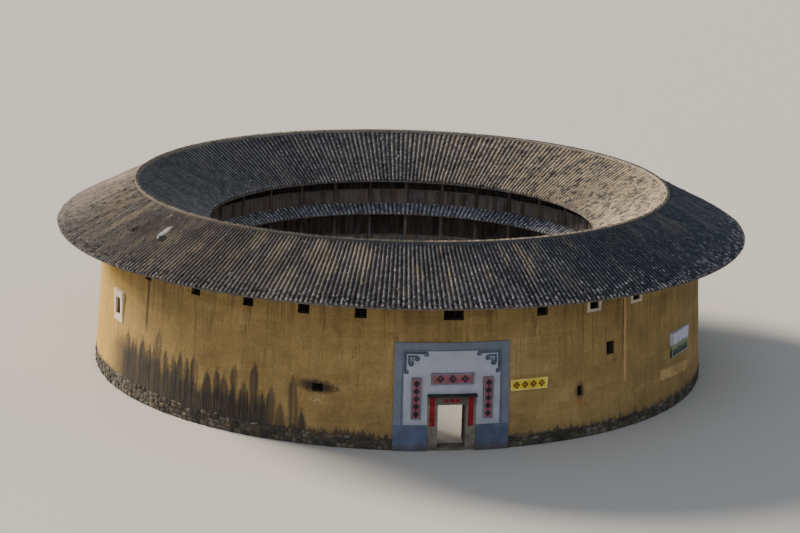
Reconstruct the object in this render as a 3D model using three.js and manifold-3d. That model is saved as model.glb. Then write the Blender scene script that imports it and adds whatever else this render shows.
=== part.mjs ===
// A round, three-storey rammed-earth dwelling (tulou) with a timber gallery inside and a ring-shaped tiled roof.
// Millimetres, +Z up. The origin is on the ground at the centre of the courtyard.
// The gate faces -Y. Angles are degrees around the building from the gate, positive towards +X.
import * as THREE from 'three';
import { mergeVertices } from 'three/addons/utils/BufferGeometryUtils.js';
import Module from 'manifold-3d';

const wasm = await Module();
wasm.setup();

// Driving dimensions
const BAYS = 34;
const FACETS_PER_BAY = 2;
const GAP = 0.3;
const PLAN_REACH = 40000;
const CUT_BELOW = -100;
const CUT_ABOVE = 12000;
const CUT_MARGIN = 500;
const CUT_REACH = 20000;

const WALL_BASE_R = 16900;
const WALL_BATTER = 0.065;
const WALL_INNER_R = 15600;
const PLINTH_TOP = 600;
const PLINTH_PROUD = 30;

const RIDGE_R = 14640;
const RIDGE_Z = 10020;
const OUTER_EAVE_R = 19000;
const OUTER_EAVE_Z = 7880;
const INNER_EAVE_R = 10600;
const INNER_EAVE_Z = 7790;
const ROOF_THICKNESS = 200;
const RIDGE_CAP = { halfWidth: 190, rise: 110 };

const FLOOR_THICKNESS = 150;
const FLOOR_2_TOP = 3200;
const FLOOR_3_TOP = 6000;
const POST_R = 11900;
const POST_HALF = 100;
const POST_BASE = { half: 190, height: 180 };
const HEAD_BEAM = { depth: 220, inset: 10 };
const PARAPET_HALF = 35;
const PARAPET_HEIGHT = 950;
const ROOM_FRONT_R = 13100;
const ROOM_FRONT_HALF = 50;
const SKIRT = { eaveR: 10850, eaveZ: 5690, topZ: 6120, thickness: 120 };
const BRACKET = { half: 55, height: 130, reach: 750 };
const TIE_BEAM = { half: 100, bottom: 7800, top: 8000, endR: 18200, inset: 20, lap: 50 };
const PURLIN = { width: 200, height: 200 };
const KING_POST_HALF = 90;

const GATE_BAY_HALF = 10;
const GATE_OPENING_HALF = 1220;
const GATE_OPENING_TOP = 2880;
const GATE_SHELF = { thickness: 80, frontY: -17090, backY: -15400 };
const STONE_FRAME = { clearHalf: 700, headZ: 2320, frontY: -16790, backY: -16340 };
const THRESHOLD = { height: 120, frontY: -16850, backY: -16090, half: 1000 };
const SOCKET_OVERCUT = 100;
const PIVOT = { x: 800, y: -16220, pinRadius: 34, socketRadius: 37, depth: 60, sides: 16 };
const PIVOT_BEAM = { bottom: 2470, top: 2650, backY: -16090 };
const LEAF = { thickness: 60, stile: 45, foot: 130, head: 2455, meetingGap: 8, pinClearance: 5 };
const HALL_HALF = 10.588;
const HALL_WALL_END_R = 15540;

const SURROUND = { half: 9.9, top: 5450, thickness: 60 };
const FIELD = { half: 8.35, bottom: 1310, top: 5020, thickness: 40 };
const PLAQUE = { angle: 0, width: 2120, bottom: 3360, top: 3930, thickness: 50 };
const COUPLET = { width: 500, bottom: 1600, top: 3700, thickness: 30 };
const COUPLET_ANGLES = { left: -6.1, right: 6.15 };
const SIGN = { angle: 13.6, width: 2000, bottom: 2885, top: 3455, thickness: 70 };
const POSTER = { angle: 53.3, width: 2300, bottom: 2750, top: 4080, thickness: 60 };

// Windows: angle, width, bottom and top of each opening through the earth wall
const TOP_ROW = { width: 600, bottom: 6550, top: 7250 };
const TOP_ROW_LEFT = [-15.9, -25.9, -36.4, -47.8, -61.1, -73.8];
const TOP_ROW_RIGHT = [16.1, 26.9, 37.6, 48.1, 58.2, 68.8, 79.4];
const TOP_ROW_BACK_FIRST_BAY = 8.5;
const GATE_WINDOW = { angle: 0, width: 1000, bottom: 6550, top: 7250 };
const LOWER_WINDOWS = [
  { angle: -71.7, width: 620, bottom: 4030, top: 4930 },
  { angle: -88, width: 220, bottom: 4750, top: 5250 },
  { angle: 30.9, width: 560, bottom: 4030, top: 4700 },
  { angle: -22.9, width: 560, bottom: 2730, top: 3130 },
  { angle: 23.9, width: 300, bottom: 2200, top: 2700 },
  { angle: -111.2, width: 560, bottom: 4030, top: 4700 },
  { angle: -153.5, width: 560, bottom: 4030, top: 4700 },
  { angle: 111.2, width: 560, bottom: 4030, top: 4700 },
  { angle: 153.5, width: 560, bottom: 4030, top: 4700 },
];
const WHITE_SURROUNDS = {
  window_surround_left_upper: { window: { angle: -73.8, ...TOP_ROW }, side: 150, end: 150 },
  window_surround_left_lower: { window: LOWER_WINDOWS[0], side: 280, end: 380 },
  window_surround_right_first: { window: { angle: 26.9, ...TOP_ROW }, side: 150, end: 150 },
  window_surround_right_second: { window: { angle: 37.6, ...TOP_ROW }, side: 150, end: 150 },
};
const WINDOW_SURROUND_PROUD = 40;

const BAY = 360 / BAYS;
const FACETS = BAYS * FACETS_PER_BAY;
const WALL_SEGMENT_BAYS = [1, 5, 9, 13, 17];
const ROOF_SPLIT = 9 * BAY;

// Materials
const finish = (color, roughness, metalness = 0) => new THREE.MeshStandardMaterial({ color, roughness, metalness });
const EARTH = finish(0xa8792f, 0.95);
const RUBBLE = finish(0x4a463f, 0.95);
const TILE = finish(0x4b433b, 0.9);
const RIDGE_TILE = finish(0x8a7f6c, 0.9);
const TIMBER = finish(0x35271d, 0.85);
const STONE = finish(0x777168, 0.85);
const PAINT_BLUE = finish(0x7d8798, 0.85);
const PAINT_PALE = finish(0xb6bac4, 0.85);
const PAINT_RED = finish(0x9a5560, 0.8);
const PAINT_YELLOW = finish(0xd8c13a, 0.7);
const LIME_WHITE = finish(0xd8d0bd, 0.9);
const BOARD_GREEN = finish(0x5f7c66, 0.7);

// Solids from three.js geometry
const radians = (degrees) => THREE.MathUtils.degToRad(degrees);

function solid(geometry) {
  geometry.deleteAttribute('normal');
  geometry.deleteAttribute('uv');
  const merged = mergeVertices(geometry, 0.001);
  const mesh = new wasm.Mesh({
    numProp: 3,
    vertProperties: new Float32Array(merged.attributes.position.array),
    triVerts: new Uint32Array(merged.index.array),
  });
  return new wasm.Manifold(mesh);
}

function joined(solids) {
  return solids.reduce((whole, next) => whole.add(next));
}

function without(base, cutters) {
  return cutters.reduce((rest, cutter) => rest.subtract(cutter), base);
}

// A full ring whose section is a closed outline of [radius, height] points
function ring(outline, facets = FACETS) {
  const area = THREE.ShapeUtils.area(outline.map(([r, z]) => new THREE.Vector2(r, z)));
  const ordered = area > 0 ? outline : [...outline].reverse();
  const points = [...ordered, ordered[0]].map(([r, z]) => new THREE.Vector2(r, z));
  const geometry = new THREE.LatheGeometry(points, facets);
  geometry.rotateX(Math.PI / 2);
  return solid(geometry);
}

// A ring of timbers that run straight from one bay line to the next, with corners at the stated radii
function timberRing(innerR, outerR, bottom, top) {
  return ring([[innerR, bottom], [outerR, bottom], [outerR, top], [innerR, top]], BAYS);
}

const planPoint = (angle, radius) => [radius * Math.sin(radians(angle)), -radius * Math.cos(radians(angle))];

// A pie slice of the plan between two angles, drawn in by half the gap on each straight side
function wedge(from, to, bottom = CUT_BELOW, top = CUT_ABOVE) {
  const middle = (from + to) / 2;
  const inset = GAP / 2 / Math.sin(radians((to - from) / 2));
  const [dx, dy] = planPoint(middle, inset);
  const steps = Math.max(2, Math.ceil((to - from) / 20));
  const shape = new THREE.Shape();
  shape.moveTo(dx, dy);
  for (let i = 0; i <= steps; i += 1) {
    const [x, y] = planPoint(from + ((to - from) * i) / steps, PLAN_REACH);
    shape.lineTo(x + dx, y + dy);
  }
  const geometry = new THREE.ExtrudeGeometry(shape, { depth: top - bottom, bevelEnabled: false });
  geometry.translate(0, 0, bottom);
  return solid(geometry);
}

function block(x0, x1, y0, y1, z0, z1) {
  const geometry = new THREE.BoxGeometry(x1 - x0, y1 - y0, z1 - z0);
  geometry.translate((x0 + x1) / 2, (y0 + y1) / 2, (z0 + z1) / 2);
  return solid(geometry);
}

// A block that points away from the centre at an angle, between two radii
function radialBlock(angle, innerR, outerR, halfWidth, bottom, top) {
  const geometry = new THREE.BoxGeometry(2 * halfWidth, outerR - innerR, top - bottom);
  geometry.translate(0, -(innerR + outerR) / 2, (bottom + top) / 2);
  geometry.rotateZ(radians(angle));
  return solid(geometry);
}

function upright(x, y, radius, bottom, top) {
  const geometry = new THREE.CylinderGeometry(radius, radius, top - bottom, PIVOT.sides);
  geometry.rotateX(Math.PI / 2);
  geometry.translate(x, y, (bottom + top) / 2);
  return solid(geometry);
}

// Heights and radii that several pieces share
const wallOuter = (z) => WALL_BASE_R - WALL_BATTER * z;
const outerSlope = (RIDGE_Z - OUTER_EAVE_Z) / (OUTER_EAVE_R - RIDGE_R);
const innerSlope = (RIDGE_Z - INNER_EAVE_Z) / (RIDGE_R - INNER_EAVE_R);
const outerRoofTop = (r) => RIDGE_Z - outerSlope * (r - RIDGE_R);
const innerRoofTop = (r) => RIDGE_Z - innerSlope * (RIDGE_R - r);
const underOuterRoof = (r) => outerRoofTop(r) - ROOF_THICKNESS - GAP;
const underInnerRoof = (r) => innerRoofTop(r) - ROOF_THICKNESS - GAP;
const midBay = Math.cos(Math.PI / BAYS);
const bayLines = Array.from({ length: BAYS }, (_, bay) => bay * BAY);

// Everything inside the outer face of the wall, moved out by a small distance
function wallCone(extra) {
  const core = WALL_INNER_R / 2;
  return ring([
    [core, CUT_BELOW],
    [wallOuter(CUT_BELOW) + extra, CUT_BELOW],
    [wallOuter(RIDGE_Z) + extra, RIDGE_Z],
    [core, RIDGE_Z],
  ]);
}

// Earth wall
// The outer face leans in until it meets the underside of the roof
const wallTopZ = underOuterRoof(WALL_BASE_R) / (1 - outerSlope * WALL_BATTER);
const wallOutline = (bottom) => [
  [WALL_INNER_R, bottom],
  [wallOuter(bottom), bottom],
  [wallOuter(wallTopZ), wallTopZ],
  [WALL_INNER_R, underOuterRoof(WALL_INNER_R)],
];

function topRowAngles() {
  const back = [];
  for (let bay = TOP_ROW_BACK_FIRST_BAY; bay < BAYS / 2; bay += 1) {
    back.push(bay * BAY, -bay * BAY);
  }
  return [...TOP_ROW_LEFT, ...TOP_ROW_RIGHT, ...back];
}

const windows = [GATE_WINDOW, ...topRowAngles().map((angle) => ({ angle, ...TOP_ROW })), ...LOWER_WINDOWS];

function windowHole({ angle, width, bottom, top }) {
  return radialBlock(angle, WALL_INNER_R - CUT_MARGIN, WALL_BASE_R + CUT_MARGIN, width / 2, bottom, top);
}

function beamPocket(angle) {
  return radialBlock(angle, WALL_INNER_R - CUT_MARGIN, WALL_BASE_R + CUT_MARGIN,
    TIE_BEAM.half + GAP, TIE_BEAM.bottom - GAP, TIE_BEAM.top + GAP);
}

const wrapped = (angle) => ((angle + 540) % 360) - 180;
const nearSpan = (angle, from, to) => Math.abs(wrapped(angle - (from + to) / 2)) < (to - from) / 2 + 3;

function wallSegment(from, to, bottom) {
  const cutters = [
    ...windows.filter((one) => nearSpan(one.angle, from, to)).map(windowHole),
    ...bayLines.filter((angle) => nearSpan(angle, from, to)).map(beamPocket),
  ];
  return without(ring(wallOutline(bottom)).intersect(wedge(from, to)), cutters);
}

function earthWalls() {
  const pieces = {};
  const names = ['front', 'side', 'rear', 'back'];
  names.forEach((name, i) => {
    const from = i === 0 ? GATE_BAY_HALF : WALL_SEGMENT_BAYS[i] * BAY;
    const to = WALL_SEGMENT_BAYS[i + 1] * BAY;
    pieces[`wall_left_${name}`] = wallSegment(-to, -from, PLINTH_TOP + GAP);
    pieces[`wall_right_${name}`] = wallSegment(from, to, PLINTH_TOP + GAP);
  });
  const gateBay = wallSegment(-GATE_BAY_HALF, GATE_BAY_HALF, 0);
  const leftPier = block(-CUT_REACH, -GATE_OPENING_HALF, -CUT_REACH, 0, CUT_BELOW, GATE_OPENING_TOP);
  const rightPier = block(GATE_OPENING_HALF, CUT_REACH, -CUT_REACH, 0, CUT_BELOW, GATE_OPENING_TOP);
  const above = block(-CUT_REACH, CUT_REACH, -CUT_REACH, 0, GATE_OPENING_TOP + GAP, CUT_ABOVE);
  pieces.wall_gate_left = gateBay.intersect(leftPier);
  pieces.wall_gate_right = gateBay.intersect(rightPier);
  pieces.wall_over_gate = gateBay.intersect(above);
  return pieces;
}

function plinths() {
  const outline = [
    [WALL_INNER_R, 0],
    [wallOuter(0) + PLINTH_PROUD, 0],
    [wallOuter(PLINTH_TOP) + PLINTH_PROUD, PLINTH_TOP],
    [WALL_INNER_R, PLINTH_TOP],
  ];
  const whole = ring(outline);
  return {
    plinth_left_front: whole.intersect(wedge(-ROOF_SPLIT, -GATE_BAY_HALF)),
    plinth_left_back: whole.intersect(wedge(-180, -ROOF_SPLIT)),
    plinth_right_front: whole.intersect(wedge(GATE_BAY_HALF, ROOF_SPLIT)),
    plinth_right_back: whole.intersect(wedge(ROOF_SPLIT, 180)),
  };
}

// Roof
function roofPieces() {
  const half = GAP / 2;
  const outer = ring([
    [RIDGE_R + half, outerRoofTop(RIDGE_R)],
    [OUTER_EAVE_R, OUTER_EAVE_Z],
    [OUTER_EAVE_R, OUTER_EAVE_Z - ROOF_THICKNESS],
    [RIDGE_R + half, outerRoofTop(RIDGE_R) - ROOF_THICKNESS],
  ]);
  const inner = ring([
    [RIDGE_R - half, innerRoofTop(RIDGE_R)],
    [INNER_EAVE_R, INNER_EAVE_Z],
    [INNER_EAVE_R, INNER_EAVE_Z - ROOF_THICKNESS],
    [RIDGE_R - half, innerRoofTop(RIDGE_R) - ROOF_THICKNESS],
  ]);
  const spans = {
    left_front: [-ROOF_SPLIT, 0],
    left_back: [-180, -ROOF_SPLIT],
    right_front: [0, ROOF_SPLIT],
    right_back: [ROOF_SPLIT, 180],
  };
  const pieces = {};
  for (const [name, [from, to]] of Object.entries(spans)) {
    pieces[`roof_outer_${name}`] = outer.intersect(wedge(from, to));
    pieces[`roof_inner_${name}`] = inner.intersect(wedge(from, to));
  }
  return pieces;
}

function ridgeCap() {
  const { halfWidth, rise } = RIDGE_CAP;
  return ring([
    [RIDGE_R - halfWidth, innerRoofTop(RIDGE_R - halfWidth) + GAP],
    [RIDGE_R, RIDGE_Z + GAP],
    [RIDGE_R + halfWidth, outerRoofTop(RIDGE_R + halfWidth) + GAP],
    [RIDGE_R + halfWidth / 2, RIDGE_Z + rise],
    [RIDGE_R - halfWidth / 2, RIDGE_Z + rise],
  ]);
}

// A flat wheel of tie beams between the wall plate over the galleries and the plate under the outer eave
function roofFrame() {
  const inner = POST_R - PURLIN.width / 2;
  const outer = POST_R + PURLIN.width / 2;
  const eaveInner = TIE_BEAM.endR - PURLIN.width;
  const foot = TIE_BEAM.bottom + TIE_BEAM.lap;
  const rings = [
    timberRing(inner, outer, foot, underInnerRoof(inner * midBay)),
    timberRing(eaveInner, TIE_BEAM.endR, foot, underOuterRoof(TIE_BEAM.endR)),
  ];
  const ties = bayLines.map((angle) => radialBlock(angle, inner + TIE_BEAM.inset, TIE_BEAM.endR - TIE_BEAM.inset,
    TIE_BEAM.half, TIE_BEAM.bottom, TIE_BEAM.top));
  return joined([...rings, ...ties]);
}

// King posts that stand on the tie beams and carry the ridge purlin
function ridgeFrame() {
  const inner = RIDGE_R - PURLIN.width / 2;
  const outer = RIDGE_R + PURLIN.width / 2;
  const top = Math.min(underInnerRoof(inner * midBay), underOuterRoof(outer));
  const purlin = timberRing(inner, outer, top - PURLIN.height, top);
  const kings = bayLines.map((angle) => radialBlock(angle, RIDGE_R - KING_POST_HALF, RIDGE_R + KING_POST_HALF,
    KING_POST_HALF, TIE_BEAM.top + GAP, top - PURLIN.height + TIE_BEAM.lap));
  return joined([purlin, ...kings]);
}

// Timber storeys
function floorRing(top) {
  return ring([
    [POST_R - POST_HALF, top - FLOOR_THICKNESS],
    [WALL_INNER_R - GAP, top - FLOOR_THICKNESS],
    [WALL_INNER_R - GAP, top],
    [POST_R - POST_HALF, top],
  ]);
}

function posts(bottom, top, angles) {
  return angles.map((angle) => radialBlock(angle, POST_R - POST_HALF, POST_R + POST_HALF, POST_HALF, bottom, top));
}

function groundFrame() {
  const top = FLOOR_2_TOP - FLOOR_THICKNESS - GAP;
  const angles = bayLines.filter((angle) => angle !== 0);
  const side = POST_HALF - HEAD_BEAM.inset;
  const beam = timberRing(POST_R - side, POST_R + side, top - HEAD_BEAM.depth, top);
  const bases = angles.map((angle) => radialBlock(angle, POST_R - POST_BASE.half, POST_R + POST_BASE.half,
    POST_BASE.half, 0, POST_BASE.height));
  return joined([beam, ...posts(0, top, angles), ...bases]);
}

function galleryFrame(bottom, top, withBrackets) {
  const foot = bottom + GAP;
  const parapet = timberRing(POST_R - PARAPET_HALF, POST_R + PARAPET_HALF, foot, bottom + PARAPET_HEIGHT);
  const members = [parapet, ...posts(foot, top, bayLines)];
  if (withBrackets) {
    members.push(...skirtBrackets());
  }
  return joined(members);
}

function skirtBrackets() {
  const bottomAtPost = SKIRT.topZ - SKIRT.thickness;
  const slope = (SKIRT.topZ - SKIRT.eaveZ) / (POST_R - POST_HALF - SKIRT.eaveR);
  const tip = POST_R - POST_HALF - BRACKET.reach;
  const top = bottomAtPost - slope * BRACKET.reach - GAP;
  return bayLines.map((angle) => radialBlock(angle, tip, POST_R, BRACKET.half, top - BRACKET.height, top));
}

function skirtRoof() {
  const backR = POST_R - POST_HALF - GAP;
  return ring([
    [SKIRT.eaveR, SKIRT.eaveZ],
    [SKIRT.eaveR, SKIRT.eaveZ - SKIRT.thickness],
    [backR, SKIRT.topZ - SKIRT.thickness],
    [backR, SKIRT.topZ],
  ]);
}

function roomFront(bottom, top) {
  return timberRing(ROOM_FRONT_R - ROOM_FRONT_HALF, ROOM_FRONT_R + ROOM_FRONT_HALF, bottom, top);
}

function groundRoomFront() {
  const top = FLOOR_2_TOP - FLOOR_THICKNESS - GAP;
  const open = wedge(-HALL_HALF, HALL_HALF);
  const sides = [-HALL_HALF, HALL_HALF].map((angle) => radialBlock(angle, ROOM_FRONT_R - ROOM_FRONT_HALF,
    HALL_WALL_END_R, ROOM_FRONT_HALF, 0, top));
  return joined([roomFront(0, top).subtract(open), ...sides]);
}

// Gate
function gateFrame() {
  const { clearHalf, headZ, frontY, backY } = STONE_FRAME;
  const outer = GATE_OPENING_HALF - GAP;
  return {
    gate_jamb_left: block(-outer, -clearHalf, frontY, backY, 0, headZ - GAP),
    gate_jamb_right: block(clearHalf, outer, frontY, backY, 0, headZ - GAP),
    gate_head: block(-outer, outer, frontY, backY, headZ, GATE_OPENING_TOP - GATE_SHELF.thickness - GAP),
    gate_shelf: block(-outer, outer, GATE_SHELF.frontY, GATE_SHELF.backY,
      GATE_OPENING_TOP - GATE_SHELF.thickness, GATE_OPENING_TOP),
  };
}

function gateThreshold() {
  const { height, frontY, backY, half } = THRESHOLD;
  const sill = block(-STONE_FRAME.clearHalf + GAP, STONE_FRAME.clearHalf - GAP, frontY, backY, 0, height);
  const back = block(-half, half, STONE_FRAME.backY + GAP, backY, 0, height);
  const sockets = [-PIVOT.x, PIVOT.x].map((x) => upright(x, PIVOT.y, PIVOT.socketRadius,
    height - PIVOT.depth, height + SOCKET_OVERCUT));
  return without(joined([sill, back]), sockets);
}

function gatePivotBeam() {
  const outer = GATE_OPENING_HALF - GAP;
  const { bottom, top, backY } = PIVOT_BEAM;
  const beam = block(-outer, outer, STONE_FRAME.backY + GAP, backY, bottom, top);
  const sockets = [-PIVOT.x, PIVOT.x].map((x) => upright(x, PIVOT.y, PIVOT.socketRadius,
    bottom - SOCKET_OVERCUT, bottom + PIVOT.depth));
  return without(beam, sockets);
}

// One leaf, standing open inwards on its pivot pins; side is -1 for left and 1 for right
function gateLeaf(side) {
  const x = side * PIVOT.x;
  const { thickness, stile, foot, head, meetingGap, pinClearance } = LEAF;
  const length = PIVOT.x - meetingGap;
  const board = block(x - thickness / 2, x + thickness / 2, PIVOT.y, PIVOT.y + length, foot, head);
  const post = upright(x, PIVOT.y, stile, foot, head);
  const pins = upright(x, PIVOT.y, PIVOT.pinRadius, THRESHOLD.height - PIVOT.depth + GAP,
    PIVOT_BEAM.bottom + PIVOT.depth - pinClearance);
  return joined([board, post, pins]);
}

function skin(halfAngle, bottom, top, thickness) {
  const whole = ring([
    [wallOuter(bottom) + GAP, bottom],
    [wallOuter(bottom) + thickness, bottom],
    [wallOuter(top) + thickness, top],
    [wallOuter(top) + GAP, top],
  ]);
  return whole.intersect(wedge(-halfAngle, halfAngle));
}

function gateSurround() {
  const opening = block(-GATE_OPENING_HALF, GATE_OPENING_HALF, -CUT_REACH, -WALL_INNER_R,
    CUT_BELOW, GATE_OPENING_TOP + GAP);
  const border = skin(SURROUND.half, 0, SURROUND.top, SURROUND.thickness);
  const window = wedge(-FIELD.half, FIELD.half, FIELD.bottom, FIELD.top);
  const field = skin(FIELD.half - 0.002, FIELD.bottom + GAP, FIELD.top - GAP, FIELD.thickness);
  return {
    gate_border: without(border, [window, opening]),
    gate_field: field.subtract(opening),
  };
}

// A flat board fixed to the round wall, its back shaped to what it lies on
function wallBoard({ angle, width, bottom, top, thickness }, lyingOn) {
  const face = wallOuter(bottom) + lyingOn + thickness;
  const board = radialBlock(angle, wallOuter(top) - CUT_MARGIN, face, width / 2, bottom, top);
  return board.subtract(wallCone(lyingOn + GAP));
}

function wallBoards() {
  const pieces = {
    gate_plaque: wallBoard(PLAQUE, FIELD.thickness),
    sign_board: wallBoard(SIGN, 0),
    picture_board: wallBoard(POSTER, 0),
  };
  for (const [side, angle] of Object.entries(COUPLET_ANGLES)) {
    pieces[`gate_panel_${side}`] = wallBoard({ ...COUPLET, angle }, FIELD.thickness);
  }
  return pieces;
}

function windowSurrounds() {
  const pieces = {};
  for (const [name, { window, side, end }] of Object.entries(WHITE_SURROUNDS)) {
    const { angle, width, bottom, top } = window;
    const size = { angle, width: width + 2 * side, bottom: bottom - end, top: top + end };
    const plate = wallBoard({ ...size, thickness: WINDOW_SURROUND_PROUD }, 0);
    pieces[name] = plate.subtract(windowHole(window));
  }
  return pieces;
}

// Assembly
const tulou = new THREE.Group();

function place(name, piece, material) {
  const { vertProperties, triVerts, numProp } = piece.getMesh();
  const geometry = new THREE.BufferGeometry();
  geometry.setAttribute('position', new THREE.BufferAttribute(vertProperties, numProp));
  geometry.setIndex(new THREE.BufferAttribute(triVerts, 1));
  const mesh = new THREE.Mesh(geometry, material);
  mesh.name = name;
  tulou.add(mesh);
}

function placeAll(pieces, material) {
  for (const [name, piece] of Object.entries(pieces)) {
    place(name, piece, material);
  }
}

placeAll(plinths(), RUBBLE);
placeAll(earthWalls(), EARTH);
placeAll(roofPieces(), TILE);
place('roof_ridge', ridgeCap(), RIDGE_TILE);
place('roof_frame', roofFrame(), TIMBER);
place('ridge_frame', ridgeFrame(), TIMBER);
place('floor_second', floorRing(FLOOR_2_TOP), TIMBER);
place('floor_third', floorRing(FLOOR_3_TOP), TIMBER);
place('gallery_ground', groundFrame(), TIMBER);
place('gallery_second', galleryFrame(FLOOR_2_TOP, FLOOR_3_TOP - FLOOR_THICKNESS - GAP, true), TIMBER);
place('gallery_third', galleryFrame(FLOOR_3_TOP, TIE_BEAM.bottom - GAP, false), TIMBER);
place('skirt_roof', skirtRoof(), TILE);
place('room_front_ground', groundRoomFront(), TIMBER);
place('room_front_second', roomFront(FLOOR_2_TOP + GAP, FLOOR_3_TOP - FLOOR_THICKNESS - GAP), TIMBER);
place('room_front_third', roomFront(FLOOR_3_TOP + GAP, TIE_BEAM.bottom - GAP), TIMBER);

const frame = gateFrame();
place('gate_jamb_left', frame.gate_jamb_left, STONE);
place('gate_jamb_right', frame.gate_jamb_right, STONE);
place('gate_head', frame.gate_head, TIMBER);
place('gate_shelf', frame.gate_shelf, TIMBER);
place('gate_threshold', gateThreshold(), STONE);
place('gate_pivot_beam', gatePivotBeam(), TIMBER);
place('gate_leaf_left', gateLeaf(-1), TIMBER);
place('gate_leaf_right', gateLeaf(1), TIMBER);

const surround = gateSurround();
place('gate_border', surround.gate_border, PAINT_BLUE);
place('gate_field', surround.gate_field, PAINT_PALE);
const boards = wallBoards();
place('gate_plaque', boards.gate_plaque, PAINT_RED);
place('gate_panel_left', boards.gate_panel_left, PAINT_RED);
place('gate_panel_right', boards.gate_panel_right, PAINT_RED);
place('sign_board', boards.sign_board, PAINT_YELLOW);
place('picture_board', boards.picture_board, BOARD_GREEN);
placeAll(windowSurrounds(), LIME_WHITE);

export default tulou;
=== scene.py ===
"""A round rammed-earth house: a ring roof of clay tiles, a rubble foot, a painted gate and timber galleries.

Metres, +Z up, the courtyard's centre at the origin and the gate towards -Y. An angle is counted in degrees
round the house from the gate, positive towards +X, so a point is (r sin a, -r cos a, z).
"""
import math
from functools import cached_property

import bpy
import numpy as np
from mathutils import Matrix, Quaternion, Vector


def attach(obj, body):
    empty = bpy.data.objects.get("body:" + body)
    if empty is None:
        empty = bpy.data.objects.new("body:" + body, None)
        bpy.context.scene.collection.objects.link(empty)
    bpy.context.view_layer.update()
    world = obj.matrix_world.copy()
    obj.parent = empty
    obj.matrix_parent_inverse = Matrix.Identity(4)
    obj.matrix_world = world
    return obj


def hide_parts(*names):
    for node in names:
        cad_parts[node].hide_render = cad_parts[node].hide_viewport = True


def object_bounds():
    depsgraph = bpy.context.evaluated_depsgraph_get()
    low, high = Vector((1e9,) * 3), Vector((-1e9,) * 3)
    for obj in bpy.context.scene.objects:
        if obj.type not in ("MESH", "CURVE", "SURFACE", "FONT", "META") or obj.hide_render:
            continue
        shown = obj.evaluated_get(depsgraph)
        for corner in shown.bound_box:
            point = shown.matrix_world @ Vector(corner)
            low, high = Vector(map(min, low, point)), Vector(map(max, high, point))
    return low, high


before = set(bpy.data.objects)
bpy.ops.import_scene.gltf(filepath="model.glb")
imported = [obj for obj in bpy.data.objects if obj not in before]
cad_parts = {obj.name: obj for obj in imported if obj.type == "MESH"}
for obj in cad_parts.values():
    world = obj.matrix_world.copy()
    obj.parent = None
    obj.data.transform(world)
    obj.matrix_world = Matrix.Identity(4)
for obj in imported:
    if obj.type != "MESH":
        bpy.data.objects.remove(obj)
CAD_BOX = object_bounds()

bl_info = {
    "name": "Round earth house",
    "version": (1, 0, 0),
    "blender": (4, 5, 0),
    "location": "3D View > Sidebar > Earth House",
    "description": "Builds the tiles, earth wall, gate, galleries and finishes of a round earth house",
    "category": "Add Mesh",
}

# Plan and heights that the pieces share with the fixed frame
BAYS = 34
BAY = 360.0 / BAYS
BAY_LINES = np.arange(BAYS) * BAY
BAY_MIDDLES = BAY_LINES + BAY / 2
WALL_FOOT_R, WALL_BATTER, WALL_INNER_R = 16.9, 0.065, 15.6
# Radii at which metres round the wall, and the sides of its holes, are turned into angles
WALL_MEAN_R, HOLE_R = 16.7, 16.5
EARTH_FOOT, EARTH_TOP, LEVEL_GAP = 0.5, 9.0, 0.06
PLINTH_TOP, FOOT_MEAN_R, LIFT = 0.6, 16.8, 0.39
RIDGE_R, RIDGE_Z = 14.64, 10.02
# How far the rafters and the wall's head lie below the roof slopes
TILE_BED, WALL_HEAD = 0.115, 0.205
POST_R, POST_HALF, POST_BASE = 11.9, 0.095, 0.18
ROOM_FRONT_R, FLOOR_EDGE_R = 13.1, 11.8
FLOOR_TOPS, FLOOR_THICK, TIE_BEAM_Z = (3.2, 6.0), 0.15, 7.8
STOREYS = {
    "ground": (0.0, FLOOR_TOPS[0] - FLOOR_THICK),
    "second": (FLOOR_TOPS[0], FLOOR_TOPS[1] - FLOOR_THICK),
    "third": (FLOOR_TOPS[1], TIE_BEAM_Z),
}
GATE_BAY, GATE_HALF, GATE_TOP, JAMB_FRONT = 10.0, 1.22, 2.88, 16.79
# How far raised lines and small ornaments start below the face that they lie on
LINE_SINK, ORNAMENT_SINK = 0.004, 0.003
BORDER_HALF, BORDER_TOP, BORDER_THICK = 9.9, 5.45, 0.06
FIELD_HALF, FIELD_BOTTOM, FIELD_TOP, FIELD_THICK = 8.35, 1.31, 5.02, 0.04
LEAF_X, LEAF_Y, LEAF_LONG, LEAF_FOOT, LEAF_HEAD = 0.8, -16.22, 0.792, 0.13, 2.455
PIVOT_FOOT, PIVOT_HEAD, PIVOT_SIZE, LEAF_POST_SIZE = 0.0605, 2.5245, 0.033, 0.043
BATTENS, RING_Z, PAPER_Z = (0.42, 1.30, 2.18), 1.12, 1.62
QUARTERS = {"left_front": (-9, 0), "left_back": (-17, -9), "right_front": (0, 9), "right_back": (9, 17)}

# Openings in the earth wall: angle, width, bottom, top
TOP_ROW = (0.6, 6.55, 7.25)
TOP_ROW_ANGLES = [-15.9, -25.9, -36.4, -47.8, -61.1, -73.8, 16.1, 26.9, 37.6, 48.1, 58.2, 68.8, 79.4]
TOP_ROW_ANGLES += [side * bay * BAY for bay in np.arange(8.5, BAYS / 2) for side in (1, -1)]
VENT, LOOPHOLE = (-22.9, 0.56, 2.73, 3.13), (23.9, 0.30, 2.20, 2.70)
WINDOWS = [(0.0, 1.0, 6.55, 7.25)] + [(angle, *TOP_ROW) for angle in TOP_ROW_ANGLES]
WINDOWS += [(-71.7, 0.62, 4.03, 4.93), (-88.0, 0.22, 4.75, 5.25), (30.9, 0.56, 4.03, 4.70), VENT, LOOPHOLE]
WINDOWS += [(side * angle, 0.56, 4.03, 4.70) for angle in (111.2, 153.5) for side in (1, -1)]
GATE_HOLE = (0.0, 2 * GATE_HALF, -1.0, GATE_TOP)

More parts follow.
